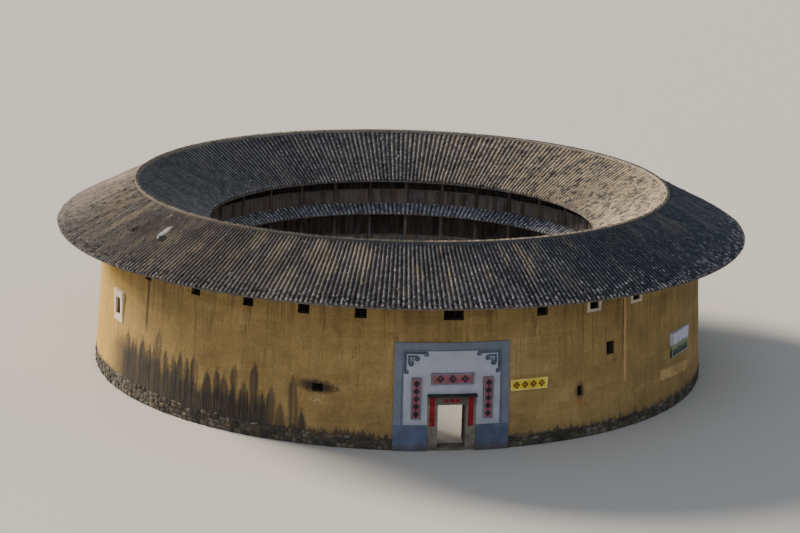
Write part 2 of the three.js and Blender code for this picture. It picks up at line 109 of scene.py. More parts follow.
# Boards on the wall: angle, width, bottom, top, how far the face stands from the wall's face at its bottom
PLAQUE = (0.0, 2.12, 3.36, 3.93, 0.09)
PANELS = ((-6.1, 0.5, 1.6, 3.7, 0.07), (6.15, 0.5, 1.6, 3.7, 0.07))
SIGN = (13.6, 2.0, 2.885, 3.455, 0.07)
PICTURE = (53.3, 2.3, 2.75, 4.08, 0.06)

# Hurt spots of the outer slope: angle, radius, reach round and up the slope, lift of the loose tiles
HURT_TILES = [(-57.2, 16.2, 1.7, 0.40, 0.035), (-65.2, 16.6, 1.3, 0.24, -0.045),
              (-56.2, 16.65, 1.2, 0.22, -0.03)]
# Where many tiles have slipped: angle, reach round
ROUGH_SPANS = [(52.0, 48.0), (105.0, 42.0), (-80.0, 24.0)]
# Colours of the hurt spots: angle, radius, reach round and up the slope, how pale; the dark ones are painted
# shade in gaps
HURT_COLOURS = [(-57.4, 16.15, 0.62, 0.50, 0.52), (-65.0, 16.6, 1.10, 0.26, 0.008),
                (-55.9, 16.6, 0.85, 0.20, 0.014)]

# Dark tongues at the foot of the wall: angle, height of the top, half width
TONGUES = [
    (-67.0, 3.3, 0.42), (-64.6, 2.9, 0.34), (-61.6, 3.2, 0.36), (-59.3, 3.0, 0.28), (-56.6, 4.05, 0.30),
    (-54.5, 3.1, 0.30), (-52.3, 2.9, 0.34), (-50.6, 3.2, 0.22), (-49.0, 3.0, 0.26), (-47.2, 3.25, 0.30),
    (-44.3, 2.6, 0.32), (-42.0, 2.9, 0.24), (-40.6, 2.6, 0.28), (-38.5, 3.25, 0.27), (-36.4, 2.5, 0.30),
    (-34.5, 3.5, 0.28), (-32.9, 2.1, 0.26), (-31.2, 2.5, 0.24), (-29.4, 1.7, 0.26), (-27.1, 3.2, 0.24),
    (-25.6, 1.5, 0.26),
]

radians = np.deg2rad


def wall_r(z):
    """Outer radius of the earth wall, which leans in by a fixed share of the height."""
    return WALL_FOOT_R - WALL_BATTER * np.asarray(z, float)


class Slope:
    """A conical roof slope that falls evenly from a high ring to its eave, each given as (radius, height)."""

    def __init__(self, high, eave):
        (self.high_r, self.high_z), (self.eave_r, eave_z) = high, eave
        self.rise = (self.high_z - eave_z) / (self.high_r - self.eave_r)
        self.stretch = math.hypot(1, self.rise)
        self.tilt = math.degrees(math.atan(self.rise))
        self.outward = math.copysign(1, self.eave_r - self.high_r)

    def top(self, r):
        """Height above a radius: the high ring's height and the rise times the way out from it."""
        return self.high_z + self.rise * (np.asarray(r, float) - self.high_r)

    def courses(self):
        """How many courses of tiles cover the slope."""
        run = abs(self.high_r - self.eave_r)
        return round(run * self.stretch / settings("house_tiles").course)


OUTER = Slope((RIDGE_R, RIDGE_Z), (19.0, 7.88))
INNER = Slope((RIDGE_R, RIDGE_Z), (10.6, 7.79))
SKIRT = Slope((11.8, 6.12), (10.85, 5.69))


def polar(angle, r, z):
    """Points (r sin a, -r cos a, z) for arrays of angles, radii and heights."""
    angle, r, z = np.broadcast_arrays(radians(angle), np.asarray(r, float), np.asarray(z, float))
    return np.stack([r * np.sin(angle), -r * np.cos(angle), z], -1)


def round_ring(count, start=0.0):
    """Even angles in degrees once round the house."""
    return (np.arange(count) + start) * 360 / count


def smooth_step(low, high, x):
    """0 below low, 1 above high and 3t^2 - 2t^3 between them."""
    t = np.clip((np.asarray(x, float) - low) / (high - low), 0.0, 1.0)
    return t * t * (3 - 2 * t)


def paired(first, second):
    """UV pairs for a grid from a column of one coordinate and a row of the other, or any shapes that fit."""
    return np.stack(np.broadcast_arrays(first, second), -1)


def quads(across, along, wrap=False, wrap_along=False):
    """Corners of a point grid's quads. wrap joins the last column to the first, wrap_along the rows."""
    i, j = np.meshgrid(np.arange(across - (not wrap)), np.arange(along - (not wrap_along)), indexing="ij")
    after, above = (i + 1) % across, (j + 1) % along
    corners = [i * along + j, after * along + j, after * along + above, i * along + above]
    return np.stack(corners, -1).reshape(-1, 4)


def settings(name):
    """One property group of the scene."""
    return getattr(bpy.context.scene, name)


def metres(name, description, default):
    return bpy.props.FloatProperty(name=name, description=description, default=default, unit="LENGTH")


def number(name, description, default, least=0.0, unit="NONE"):
    return bpy.props.FloatProperty(name=name, description=description, default=default, min=least, unit=unit)


def whole(name, description, default):
    return bpy.props.IntProperty(name=name, description=description, default=default, min=4)


def tint(name, description, default):
    return bpy.props.FloatVectorProperty(name=name, description=description, subtype="COLOR", default=default)


class Surface:
    """The points and faces of one piece, gathered group by group. Each point has a UV pair and a tone."""

    def __init__(self):
        self.points, self.uvs, self.tones = [], [], []
        self.corners, self.sizes, self.finishes = [], [], []
        self.count = 0

    def add(self, points, faces, uv=None, tone=0.0, finish=0):
        """Adds points (n, 3), with one tone or one each, and faces (m, k). Gives the first point's number."""
        points = np.asarray(points, float).reshape(-1, 3)
        first = self.count
        self.points.append(points)
        self.uvs.append(points[:, :2] if uv is None else np.asarray(uv, float).reshape(-1, 2))
        self.tones.append(np.broadcast_to(np.asarray(tone, float).ravel(), (len(points),)))
        self.count += len(points)
        self.faces(np.asarray(faces) + first, finish)
        return first

    def faces(self, corners, finish=0):
        """Adds faces (m, k) between points that are already there."""
        self.corners.append(corners.ravel())
        self.sizes.append(np.full(len(corners), corners.shape[1]))
        self.finishes.append(np.full(len(corners), finish))

    def piece(self, name, slot, materials, stands_for=(), body="house", sharp=40.0):
        """Makes the object, smooth with sharp edges above an angle, and rides it on its body."""
        sizes = np.concatenate(self.sizes)
        used, corners = np.unique(np.concatenate(self.corners), return_inverse=True)
        mesh = bpy.data.meshes.new(name)
        mesh.vertices.add(len(used))
        mesh.vertices.foreach_set("co", np.concatenate(self.points)[used].ravel())
        mesh.loops.add(len(corners))
        mesh.loops.foreach_set("vertex_index", corners.astype(np.int32))
        mesh.polygons.add(len(sizes))
        mesh.polygons.foreach_set("loop_start", np.append(0, np.cumsum(sizes)[:-1]).astype(np.int32))
        mesh.polygons.foreach_set("material_index", np.concatenate(self.finishes).astype(np.int32))
        mesh.polygons.foreach_set("use_smooth", np.ones(len(sizes), bool))
        mesh.update(calc_edges=True)
        uv = np.concatenate(self.uvs)[used][corners]
        mesh.uv_layers.new(name="UVMap").data.foreach_set("uv", uv.ravel())
        tone = mesh.attributes.new("tone", "FLOAT", "POINT")
        tone.data.foreach_set("value", np.concatenate(self.tones)[used].astype(np.float32))
        mesh.set_sharp_from_angle(angle=math.radians(sharp))
        if mesh.validate():
            raise RuntimeError(f"{name} had faces that are not valid")
        for material in materials:
            mesh.materials.append(material)
        thing = bpy.data.objects.new(name, mesh)
        bpy.context.scene.collection.objects.link(thing)
        if body:
            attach(thing, body)
        if stands_for:
            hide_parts(*stands_for)
        return thing


# A timber's section with cut corners: side of the first and second axis, and which of the two is cut back
TIMBER_CORNERS = np.array([[-1, -1, 0, 1], [1, -1, 0, 1], [1, -1, 1, 0], [1, 1, 1, 0],
                           [1, 1, 0, 1], [-1, 1, 0, 1], [-1, 1, 1, 0], [-1, -1, 1, 0]], float)


def bars(surface, angle, r, z, halves, slope=0.0, turn=0.0, shift=0.0, along=1, chamfer=0.08, tone=None,
         finish=0, seed=1):
    """Adds straight timbers, one for each angle: a rectangle with cut corners drawn out along one local axis.

    The local axes at an angle are 0, sideways; 1, outwards, tipped up by the slope; 2, up. halves are the
    three half sizes, turn twists a bar about its own axis 2 and shift moves it sideways. UV runs along the
    bar, with a random start each.
    """
    given = [np.atleast_1d(np.asarray(v, float)) for v in (angle, r, z, slope, turn, shift)]
    angle, r, z, slope, turn, shift = np.broadcast_arrays(*given)
    count = len(angle)
    halves = np.broadcast_to(np.asarray(halves, float), (count, 3))
    a, s, w = radians(angle), radians(slope), radians(turn)
    side = np.stack([np.cos(a), np.sin(a), np.zeros(count)], -1)
    out = np.stack([np.sin(a) * np.cos(s), -np.cos(a) * np.cos(s), np.sin(s)], -1)
    up = np.cross(out, side)
    place = polar(angle, r, z) + side * shift[:, None]
    side, out = (side * np.cos(w)[:, None] + out * np.sin(w)[:, None],
                 out * np.cos(w)[:, None] - side * np.sin(w)[:, None])
    first, second = [(1, 2), (2, 0), (0, 1)][along]
    cut = chamfer * np.minimum(halves[:, first], halves[:, second])[:, None, None]
    local = np.zeros((count, 2, 8, 3))
    for column, axis in enumerate((first, second)):
        inset = TIMBER_CORNERS[:, 2 + column] * cut
        local[..., axis] = TIMBER_CORNERS[:, column] * (halves[:, axis][:, None, None] - inset)
    local[..., along] = halves[:, along][:, None, None] * np.array([[-1], [1]])
    points = place[:, None, None, :] + np.einsum("nepk,nkx->nepx", local, np.stack([side, out, up], 1))
    ring = np.arange(8)
    after = (ring + 1) % 8
    base = (np.arange(count) * 16)[:, None, None]
    random = np.random.default_rng(seed).random(count)
    start = (random * 97.0)[:, None, None]
    uv = np.stack([local[..., first] + local[..., second] + start, local[..., along] + start], -1)
    tone = np.repeat(random if tone is None else np.broadcast_to(tone, (count,)), 16)
    sides = np.stack([ring, ring + 8, after + 8, after], -1) + base
    start = surface.add(points, sides.reshape(-1, 4), uv, tone, finish)
    surface.faces((np.stack([ring, ring[::-1] + 8]) + base).reshape(-1, 8) + start, finish)


def tube(surface, profile, angles, tone, wobble=0.0):
    """Adds a closed ring: a profile of (radius, height), listed from outside over the top, turned round.

    wobble moves each section in height by a sum of sine waves with random starts.
    """
    profile = np.asarray(profile, float)
    count, sides = len(angles), len(profile)
    steps = np.arange(count) * 2 * np.pi / count
    phases = np.random.default_rng(5).random((2, 6)) * 2 * np.pi
    waves = sum(np.sin(k * steps + p) / k for k, p in zip((5, 9, 16, 27, 41, 64), phases[0]))
    z = profile[None, :, 1] + wobble * waves[:, None]
    points = polar(np.asarray(angles)[:, None], profile[None, :, 0], z)
    uv = paired(steps[:, None] * profile[:, 0].mean(), np.arange(sides) * 0.1)
    surface.add(points, quads(count, sides, True, True), uv, tone)


# One row of tiles across: share of the row, height above the channel's bottom
ROW_SHAPE = np.array([[0.0, 0.0], [0.27, 0.012], [0.36, 0.046], [0.5, 0.062], [0.64, 0.046], [0.73, 0.012]])
LAP_STEP, LAP_START = 0.015, 0.93
CHANNEL_DEPTH, SHEET_DEPTH, COVER_SHORT = 0.07, 0.11, 0.016
TILE_SHARP = 52.0


def tile_sheet(surface, slope, rows_a_bay, bays, insets, sag, seed, hurt=(), brow=0.0):
    """Adds one sheet of lapped clay tiles over a sector of a conical slope, closed all round.

    It covers the bays from one number to another and stops short of the high ring and the eave by the insets.

    Across the slope the height follows ROW_SHAPE once a row: a channel, its two lips and a rounded cover.
    Down the slope each course climbs by LAP_STEP and drops again, as the next course starts under it.
    Each tile has its own small shift in height and sideways, each row its own length, and slow waves run
    over the whole slope. hurt lists spots (angle, radius, reach in degrees, reach in metres, lift). The last
    courses at the eave lie lower by brow, from a line that wanders by a course.
    """
    courses, total = slope.courses(), rows_a_bay * BAYS
    near_r = slope.high_r + slope.outward * insets[0]
    eave_r = slope.eave_r - slope.outward * insets[1]
    first, last = bays[0] * rows_a_bay, bays[1] * rows_a_bay
    rng = np.random.default_rng(seed)
    rise = rng.normal(0, 0.0045, (total, courses, 2))
    shift = rng.normal(0, 0.022, (total, courses))
    away = [np.abs((round_ring(total) - at + 180) % 360 - 180) for at, _ in ROUGH_SPANS]
    rough = sum(smooth_step(reach, reach * 0.4, gap) for gap, (_, reach) in zip(away, ROUGH_SPANS))
    slipped = rng.random((total, courses)) < 0.012 + 0.075 * rough[:, None]
    shift += slipped * rng.normal(0, 0.14, (total, courses))
    rise[..., 1] += slipped * rng.random((total, courses)) * 0.028
    lost = rng.random((total, courses)) < 0.003
    ends = rng.normal(0, 0.018, (total, 2))
    group = rng.normal(0, 0.012, total // 7 + 1)[np.arange(total) // 7]

    row = np.concatenate([np.repeat(np.arange(first, last), len(ROW_SHAPE)), [last]])
    part = np.concatenate([np.tile(np.arange(len(ROW_SHAPE)), last - first), [0]])
    cover = (part > 0).astype(int)
    course, lower = np.divmod(np.arange(2 * courses), 2)
    v = course + lower * LAP_START
    v[-1] = courses
    wrapped = row % total
    pick = (wrapped[:, None], course[None, :])
    u = row + ROW_SHAPE[part, 0]
    raised = ROW_SHAPE[part, 1][:, None] * np.where(lost[pick] & (cover[:, None] == 1), 0.12, 1.0)
    longer = np.clip(ends[wrapped, cover] + group[wrapped], -0.04, 0.03) - COVER_SHORT * cover
    end_r = eave_r + slope.outward * longer
    r = near_r + (end_r[:, None] - near_r) * (v / courses)[None, :]
    angle = (u[:, None] + shift[pick] * cover[:, None]) * (360.0 / total)
    turn = radians(u * 360.0 / total)[:, None]
    waves = np.sin(5 * turn + 1.3) + 0.8 * np.sin(11 * turn + 2.2 * r) + 0.6 * np.sin(23 * turn - 1.7 * r)
    z = slope.top(r) - CHANNEL_DEPTH + raised + LAP_STEP * lower[None, :]
    z += rise[(*pick, cover[:, None])]
    z += sag * waves * np.clip(v / courses * 2.5, 0, 1)[None, :]
    brow_line = courses - 3 + (np.sin(row * 0.37) + np.sin(row * 0.11) > 0.9)
    z -= brow * (course[None, :] >= brow_line[:, None])
    for spot_angle, spot_r, reach_angle, reach_r, lift in hurt:
        away = ((angle - spot_angle) / reach_angle) ** 2 + ((r - spot_r) / reach_r) ** 2
        z += lift * (away < 1.0) * (0.6 + 0.8 * rng.random((total, courses))[pick])
    across, along = len(row), len(course)

    low_r = np.stack([np.full(across, near_r), end_r], -1)
    low = polar((u * 360.0 / total)[:, None], low_r, slope.top(low_r) - SHEET_DEPTH)
    start = across * along
    top_near, low_near = np.arange(across - 1) * along, start + np.arange(across - 1) * 2
    top_eave, low_eave = top_near + along - 1, low_near + 1
    faces = np.concatenate([
        quads(across, along),
        quads(across, 2)[:, ::-1] + start,
        np.stack([top_eave, top_eave + along, low_eave + 2, low_eave], -1),
        np.stack([top_near + along, top_near, low_near, low_near + 2], -1),
    ])
    points = np.concatenate([polar(angle, r, z).reshape(-1, 3), low.reshape(-1, 3)])
    uv = [paired(u[:, None], ends_v).reshape(-1, 2) for ends_v in (v, np.array([0.0, courses]))]
    way = -int(slope.outward)
    offset = surface.add(points, faces[:, ::way], np.concatenate(uv))
    far_top, far_low = (across - 1) * along, start + (across - 1) * 2
    near_side = np.append(np.arange(along), [start + 1, start])
    far_side = np.append(np.arange(along) + far_top, [far_low + 1, far_low])[::-1]
    for side in (near_side, far_side):
        surface.faces(side[None, ::way] + offset)


class HouseTiles(bpy.types.PropertyGroup):
    outer_rows: whole("Outer rows a bay", "Rows of tiles in one bay of the outer slope", 14)
    inner_rows: whole("Courtyard rows a bay", "Rows of tiles in one bay of the courtyard slope", 9)
    skirt_rows: whole("Skirt rows a bay", "Rows of tiles in one bay of the skirt roof", 8)
    course: metres("Course", "Length of tile that shows in each course", 0.165)
    sag: metres("Sag", "Height of the slow waves in the slopes", 0.011)
    tile_dark: tint("Dark tile", "Colour of the darkest tiles", (0.045, 0.047, 0.054))
    tile_pale: tint("Pale tile", "Colour of the palest tiles", (0.268, 0.258, 0.262))
    tile_slate: tint("Slate tile", "Colour of the palest tiles of the outer slope", (0.204, 0.202, 0.220))
    tile_tan: tint("Tan streaks", "Colour of the rows washed with earth", (0.400, 0.325, 0.220))


class EARTHHOUSE_OT_roof_tiles(bpy.types.Operator):
    """Lays the outer and the courtyard slope of the ring roof in four sheets each"""
    bl_idname = "earthhouse.roof_tiles"
    bl_label = "Roof tiles"

    def execute(self, context):
        tiles = settings("house_tiles")
        for name, bays in QUARTERS.items():
            for kind, slope, rows, insets, *more in (
                    ("outer", OUTER, tiles.outer_rows, (0.085, 0.05), 11, HURT_TILES, 0.03),
                    ("inner", INNER, tiles.inner_rows, (0.085, 0.04), 23)):
                sheet = Surface()
                tile_sheet(sheet, slope, rows, bays, insets, tiles.sag, *more)
                finish = tile_finish(f"{kind}_tile_{name}", slope.courses(), kind)
                sheet.piece(f"roof_{kind}_tiles_{name}", "roof_tile", [finish], [f"roof_{kind}_{name}"],
                            sharp=TILE_SHARP)
        return {"FINISHED"}


class EARTHHOUSE_OT_skirt_tiles(bpy.types.Operator):
    """Lays the small tiled roof below the third floor's parapet"""
    bl_idname = "earthhouse.skirt_tiles"
    bl_label = "Skirt roof"

    def execute(self, context):
        sheet = Surface()
        for bays in ((-BAYS // 2, 0), (0, BAYS // 2)):
            tile_sheet(sheet, SKIRT, settings("house_tiles").skirt_rows, bays, (0.02, 0.03), 0.004, 31)
        finish = tile_finish("skirt_tile", SKIRT.courses(), "skirt")
        sheet.piece("skirt_tiles", "roof_tile", [finish], ["skirt_roof"], sharp=TILE_SHARP)
        return {"FINISHED"}


class EARTHHOUSE_OT_ridge(bpy.types.Operator):
    """Sets a row of tiles on edge in a band of mortar along the ridge"""
    bl_idname = "earthhouse.ridge"
    bl_label = "Ridge"

    def execute(self, context):
        ridge = Surface()
        profile = [(0.115, -0.11), (0.10, 0.0), (0.06, 0.035), (-0.06, 0.035), (-0.10, 0.0), (-0.115, -0.115),
                   (0.0, -0.1)]
        tube(ridge, np.array(profile) + [RIDGE_R, RIDGE_Z], round_ring(680), 0.5, 0.004)
        rng = np.random.default_rng(7)
        count = 1300
        angles = (np.arange(count) + rng.normal(0, 0.12, count)) * 360 / count
        kept = rng.random(count) > 0.03
        bars(ridge, angles[kept], RIDGE_R + rng.normal(0, 0.006, kept.sum()), RIDGE_Z + 0.052,
             (0.011, 0.062, 0.030), turn=rng.normal(0, 3.0, kept.sum()), chamfer=0.3, finish=1, seed=8)
        ridge.piece("ridge_tiles", "ridge_tile", [ridge_mortar_finish(), ridge_tile_finish()], ["roof_ridge"])
        return {"FINISHED"}


class EARTHHOUSE_OT_eaves(bpy.types.Operator):
    """Adds the rafters and the boards under both eaves and the skirt roof"""
    bl_idname = "earthhouse.eaves"
    bl_label = "Rafters"

    def execute(self, context):
        timber = Surface()
        half = settings("house_timber").rafter / 2
        for slope, rows, near, far, seed in ((OUTER, 7, 15.7, 18.86, 3), (INNER, 6, 10.7, 13.6, 4)):
            middle = (near + far) / 2
            bars(timber, round_ring(rows * BAYS, 0.5), middle, slope.top(middle) - TILE_BED - half,
                 (half, (far - near) / 2 * slope.stretch, half * 0.95), slope=slope.tilt, seed=seed)
        for slope, r, tall, tone in (
                (OUTER, 18.88, 0.11, 0.35), (INNER, 10.68, 0.11, 0.35), (SKIRT, 10.92, 0.06, 0.3)):
            top, out, back = slope.top(r) - TILE_BED, r + 0.015, r - 0.015
            board = [(out, top - tall), (out, top), (back, top), (back, top - tall)]
            tube(timber, board, round_ring(10 * BAYS), tone)
        timber.piece("eave_timbers", "dark_timber", [timber_finish("eave_timber")])
        return {"FINISHED"}


def pierced_shell(surface, outer, inner, keep, closed, uv):
    """Adds a thick skin with holes: an outer and an inner grid of points, where only some cells are kept.

    Kept cells give an outer and an inner quad. Along every edge between a kept cell and a missing one, or the
    grid's end, one quad runs across the thickness, so the skin is closed all round each hole.
    """
    across, along = outer.shape[:2]
    columns = across - (not closed)
    keep = np.asarray(keep, bool)[:columns]
    size = across * along
    cells = quads(across, along, closed)[keep.ravel()]
    faces = [cells, cells[:, [0, 3, 2, 1]] + size]
    if closed:
        here, before = keep, np.roll(keep, 1, axis=0)
    else:
        end = np.zeros((1, along - 1), bool)
        here, before = np.concatenate([keep, end]), np.concatenate([end, keep])
    gap = np.zeros((columns, 1), bool)
    above, below = np.concatenate([keep, gap], 1), np.concatenate([gap, keep], 1)
    for edges, upright, out in ((here & ~before, True, True), (before & ~here, True, False),
                                (above & ~below, False, False), (below & ~above, False, True)):
        column, level = np.nonzero(edges)
        near = column * along + level
        far = near + 1 if upright else (column + 1) % across * along + level
        corners = [near, far, far + size, near + size] if out else [near, near + size, far + size, far]
        faces.append(np.stack(corners, -1))
    points = np.concatenate([outer.reshape(-1, 3), inner.reshape(-1, 3)])
    surface.add(points, np.concatenate(faces), np.tile(uv.reshape(-1, 2), (2, 1)))


def wall_columns(step, holes, span=None):
    """Columns of the wall's grid as (centre angle, side shift in metres, angle), in order round the wall.

    Plain columns stand every step degrees. Each side of a hole has its own column, shifted sideways from the
    hole's centre line, so that its reveals are parallel; two that nearly meet become one plain column.
    """
    plain = np.arange(-180.0, 180.0, step) if span is None else np.linspace(*span)
    edges = sorted((angle + math.degrees(side * width / 2 / HOLE_R), angle, side * width / 2)
                   for angle, width, *_ in holes for side in (-1, 1))
    merged = []
    for at, angle, shift in edges:
        if merged and at - merged[-1][2] < 0.06:
            at = (at + merged.pop()[2]) / 2
            angle, shift = at, 0.0
        merged.append((angle, shift, at))
    for at in plain:
        if all(abs(at - edge[2]) > 0.3 * step for edge in merged) or span is not None and at in span[:2]:
            merged.append((at, 0.0, at))
    return np.array(sorted(merged, key=lambda column: column[2]))


def wall_levels(bottom, top, step, heights):
    """Heights of the wall's grid: every stated one, and even ones a step apart that keep clear of them."""
    even = np.linspace(bottom, top, max(2, round((top - bottom) / step) + 1))
    inner = [z for z in even[1:-1] if all(abs(z - h) > 0.35 * step for h in heights)]
    return np.array(sorted({bottom, top, *inner, *[h for h in heights if bottom < h < top]}))


def cell_middles(columns):
    """Angle of the middle of the cell after each column."""
    at = columns[:, 2]
    return (at + np.append(at[1:], at[0] + 360)) / 2


def kept_cells(columns, levels, holes):
    """True for each cell of the grid whose middle lies outside every hole."""
    height = (levels[1:] + levels[:-1]) / 2
    keep = np.ones((len(columns), len(height)), bool)
    for angle, width, bottom, top in holes:
        across = np.abs(cell_middles(columns) - angle) < math.degrees(width / 2 / HOLE_R)
        keep[np.ix_(across, (height > bottom) & (height < top))] = False
    return keep


def column_angles(columns, r):
    """Angle of each column at each radius: the centre angle plus the arcsine of the shift over the radius."""
    return columns[:, 0][:, None] + np.degrees(np.arcsin(columns[:, 1][:, None] / r))


def plinth_top(angle):
    """Height of the rubble foot: higher at the left and back left, lower at the right, with small waves."""
    a = radians(angle)
    left = smooth_step(-15, -75, angle) * smooth_step(-180, -120, angle)
    right = smooth_step(12, 60, angle) * smooth_step(180, 130, angle)
    return PLINTH_TOP + 0.26 * left - 0.10 * right + 0.03 * np.sin(23 * a) + 0.025 * np.sin(41 * a + 1.0)


def wall_relief(angle, z):
    """How far the earth stands out: slow bulges and a step for each lift and block, calm at the gate."""
    a = radians(angle)
    bulge = 0.010 * np.sin(3 * a + 0.7) * np.sin(0.8 * z + 1) + 0.008 * np.sin(9 * a + 2) * np.cos(1.1 * z)
    bulge += 0.006 * np.sin(26 * a + 1.9 * z) + 0.005 * np.sin(57 * a - 2.7 * z)
    lift = np.floor((z - 0.1) / LIFT).astype(int) % 64
    block = np.floor((angle + 180 + lift * 2.3) / 5.4).astype(int) % 128
    offsets = np.random.default_rng(17).uniform(-0.004, 0.004, (128, 64))
    calm = 0.25 + 0.75 * smooth_step(GATE_BAY, GATE_BAY + 5, np.abs(angle))
    return (bulge + offsets[block, lift]) * calm - 0.004 * (1 - calm)


class HouseWall(bpy.types.PropertyGroup):
    step: number("Grid step", "Angle between the columns of the wall's surface", 0.95)
    stone: metres("Stone length", "Usual length of a stone in the rubble foot", 0.36)
    earth: tint("Earth", "Colour of the rammed earth", (0.345, 0.238, 0.090))
    earth_pale: tint("Pale earth", "Colour of dry, rubbed earth", (0.47, 0.345, 0.165))
    earth_dark: tint("Damp earth", "Colour of damp, stained earth", (0.192, 0.127, 0.052))


class EARTHHOUSE_OT_earth_wall(bpy.types.Operator):
    """Builds the rammed-earth wall as one thick skin with its openings"""
    bl_idname = "earthhouse.earth_wall"
    bl_label = "Earth wall"

    def execute(self, context):
        holes = WINDOWS + [GATE_HOLE]
        gate_bay = (0.0, 2 * WALL_MEAN_R * math.tan(radians(GATE_BAY)), 0, 0)
        columns = wall_columns(settings("house_wall").step, holes + [gate_bay])
        heights = [EARTH_FOOT, GATE_TOP] + [h for window in WINDOWS for h in window[2:]]
        levels = np.concatenate([[0.0], wall_levels(EARTH_FOOT, EARTH_TOP, 0.2, heights)])
        keep = kept_cells(columns, levels, holes)
        at = columns[:, 2]
        keep[:, 0] &= np.abs(cell_middles(columns)) < GATE_BAY
        z = np.broadcast_to(levels, (len(at), len(levels))).copy()
        outside_gate = smooth_step(GATE_BAY - 0.3, GATE_BAY + 0.3, np.abs(at)) > 0.4
        z[:, 1] = np.where(outside_gate, plinth_top(at) - 0.04, EARTH_FOOT)
        for level in (2, 3, 4):
            z[:, level] = np.maximum(z[:, level], z[:, level - 1] + LEVEL_GAP)
        r = wall_r(z)
        angle = column_angles(columns, r)
        outer = polar(angle, r + wall_relief(angle, z), z)
        inner_z = z + (z == EARTH_TOP) * (OUTER.top(WALL_INNER_R) - OUTER.top(r))
        inner = polar(column_angles(columns, np.full_like(r, WALL_INNER_R)), WALL_INNER_R, inner_z)
        outer[..., 2] = np.minimum(outer[..., 2], OUTER.top(r) - WALL_HEAD)
        inner[..., 2] = np.minimum(inner[..., 2], OUTER.top(WALL_INNER_R) - WALL_HEAD)
        skin = Surface()
        pierced_shell(skin, outer, inner, keep, True, paired(radians(at)[:, None] * WALL_MEAN_R, z))
        parts = ("front", "side", "rear", "back")
        names = [f"wall_{side}_{part}" for side in ("left", "right") for part in parts]
        names += ["wall_gate_left", "wall_gate_right", "wall_over_gate"]
        skin.piece("earth_wall", "rammed_earth", [earth_finish()], names, sharp=55.0)
        return {"FINISHED"}


def stones(surface, angle, z, width, height, depth, front_r, seed):
    """Adds one rounded stone for each entry: a squared-off ball with its pole facing out and a rough skin.

    A point (x, y, z) of the unit ball goes to sign * |x|^0.62, or ^0.85 on the outward axis, times the half
    sizes, and moves in or out by a small random share.
    """
    rng = np.random.default_rng(seed)
    count = len(angle)
    segments, rings = 8, 3
    lat = (np.arange(rings) + 1) / (rings + 1) * np.pi
    lon = np.arange(segments) / segments * 2 * np.pi + 0.2
    body = np.stack([np.outer(np.sin(lat), np.cos(lon)), np.outer(np.cos(lat), np.ones(segments)),
                     np.outer(np.sin(lat), np.sin(lon))], -1).reshape(-1, 3)
    ball = np.concatenate([[[0, 1, 0]], body, [[0, -1, 0]]])
    squared = np.sign(ball) * np.abs(ball) ** np.array([0.62, 0.85, 0.62])
    rough = 1 + rng.normal(0, 0.07, (count, len(ball), 1))
    local = squared[None] * rough * np.stack([width / 2, depth / 2, height / 2], -1)[:, None, :]
    tilt = rng.normal(0, 0.09, count)[:, None]
    x = local[..., 0] * np.cos(tilt) - local[..., 2] * np.sin(tilt)
    up = local[..., 0] * np.sin(tilt) + local[..., 2] * np.cos(tilt)
    a = radians(angle)[:, None]
    r = (front_r - depth / 2)[:, None] + local[..., 1]
    points = np.stack([r * np.sin(a) + x * np.cos(a), -r * np.cos(a) + x * np.sin(a),
                       np.maximum(z[:, None] + up, 0.0)], -1)
    s = np.arange(segments) + 1
    after = s % segments + 1
    end = (rings - 1) * segments
    belt = np.concatenate([np.stack([after, s, s + segments, after + segments], -1) + k * segments
                           for k in range(rings - 1)])
    fans = [np.stack([s * 0, s, after], -1), np.stack([s * 0 + len(ball) - 1, after + end, s + end], -1)]
    base = (np.arange(count) * len(ball))[:, None, None]
    tone = np.repeat(rng.random(count), len(ball))
    uv = local[..., [0, 2]] + rng.random((count, 1, 2)) * 50
    start = surface.add(points, (belt + base).reshape(-1, 4), uv, tone, 1)
    for fan in fans:
        surface.faces((fan + base).reshape(-1, 3) + start, 1)


class EARTHHOUSE_OT_rubble_foot(bpy.types.Operator):
    """Lays the rubble foot in uneven courses of round stones in earth mortar"""
    bl_idname = "earthhouse.rubble_foot"
    bl_label = "Rubble foot"

    def execute(self, context):
        rng = np.random.default_rng(41)
        at = wall_columns(1.0, [], (-360.0 + GATE_BAY, -GATE_BAY, 300))[:, 2]
        top = plinth_top(np.where(at < -180, at + 360, at)) - 0.01
        z = np.stack([np.zeros_like(top), top], -1)
        foot = Surface()
        pierced_shell(foot, polar(at[:, None], wall_r(z) - 0.035, z), polar(at[:, None], WALL_INNER_R, z),
                      np.ones((len(at) - 1, 1), bool), False, paired(radians(at)[:, None] * FOOT_MEAN_R, z))
        size = settings("house_wall").stone
        laid = []
        low = np.zeros(720)
        for course in range(4):
            reach = GATE_BAY
            while reach < 360 - GATE_BAY:
                width = size * rng.uniform(0.55, 1.55)
                turn = math.degrees(width / WALL_FOOT_R)
                middle = reach + turn / 2
                angle = middle if middle < 180 else middle - 360
                height = rng.uniform(0.17, 0.30)
                bottom = low[int(middle * 2)]
                room = float(plinth_top(angle)) + 0.05 - bottom
                if room > 0.09 and middle + turn / 2 < 360 - GATE_BAY:
                    height = min(height, room) if room - height > 0.08 else room
                    laid.append((angle, bottom + height / 2, width * 1.04, height * 1.05))
                    low[int(reach * 2):int((reach + turn) * 2) + 1] = bottom + height
                reach += turn
        angles, z, widths, tall = np.array(laid).T
        depth = rng.uniform(0.24, 0.34, len(laid))
        front = wall_r(z) + rng.uniform(0.0, 0.055, len(laid))
        stones(foot, angles, z, widths, tall, depth, front, 43)
        names = [f"plinth_{side}_{part}" for side in ("left", "right") for part in ("front", "back")]
        foot.piece("rubble_foot", "rubble_stone", [foot_mortar_finish(), rubble_finish()], names)
        return {"FINISHED"}


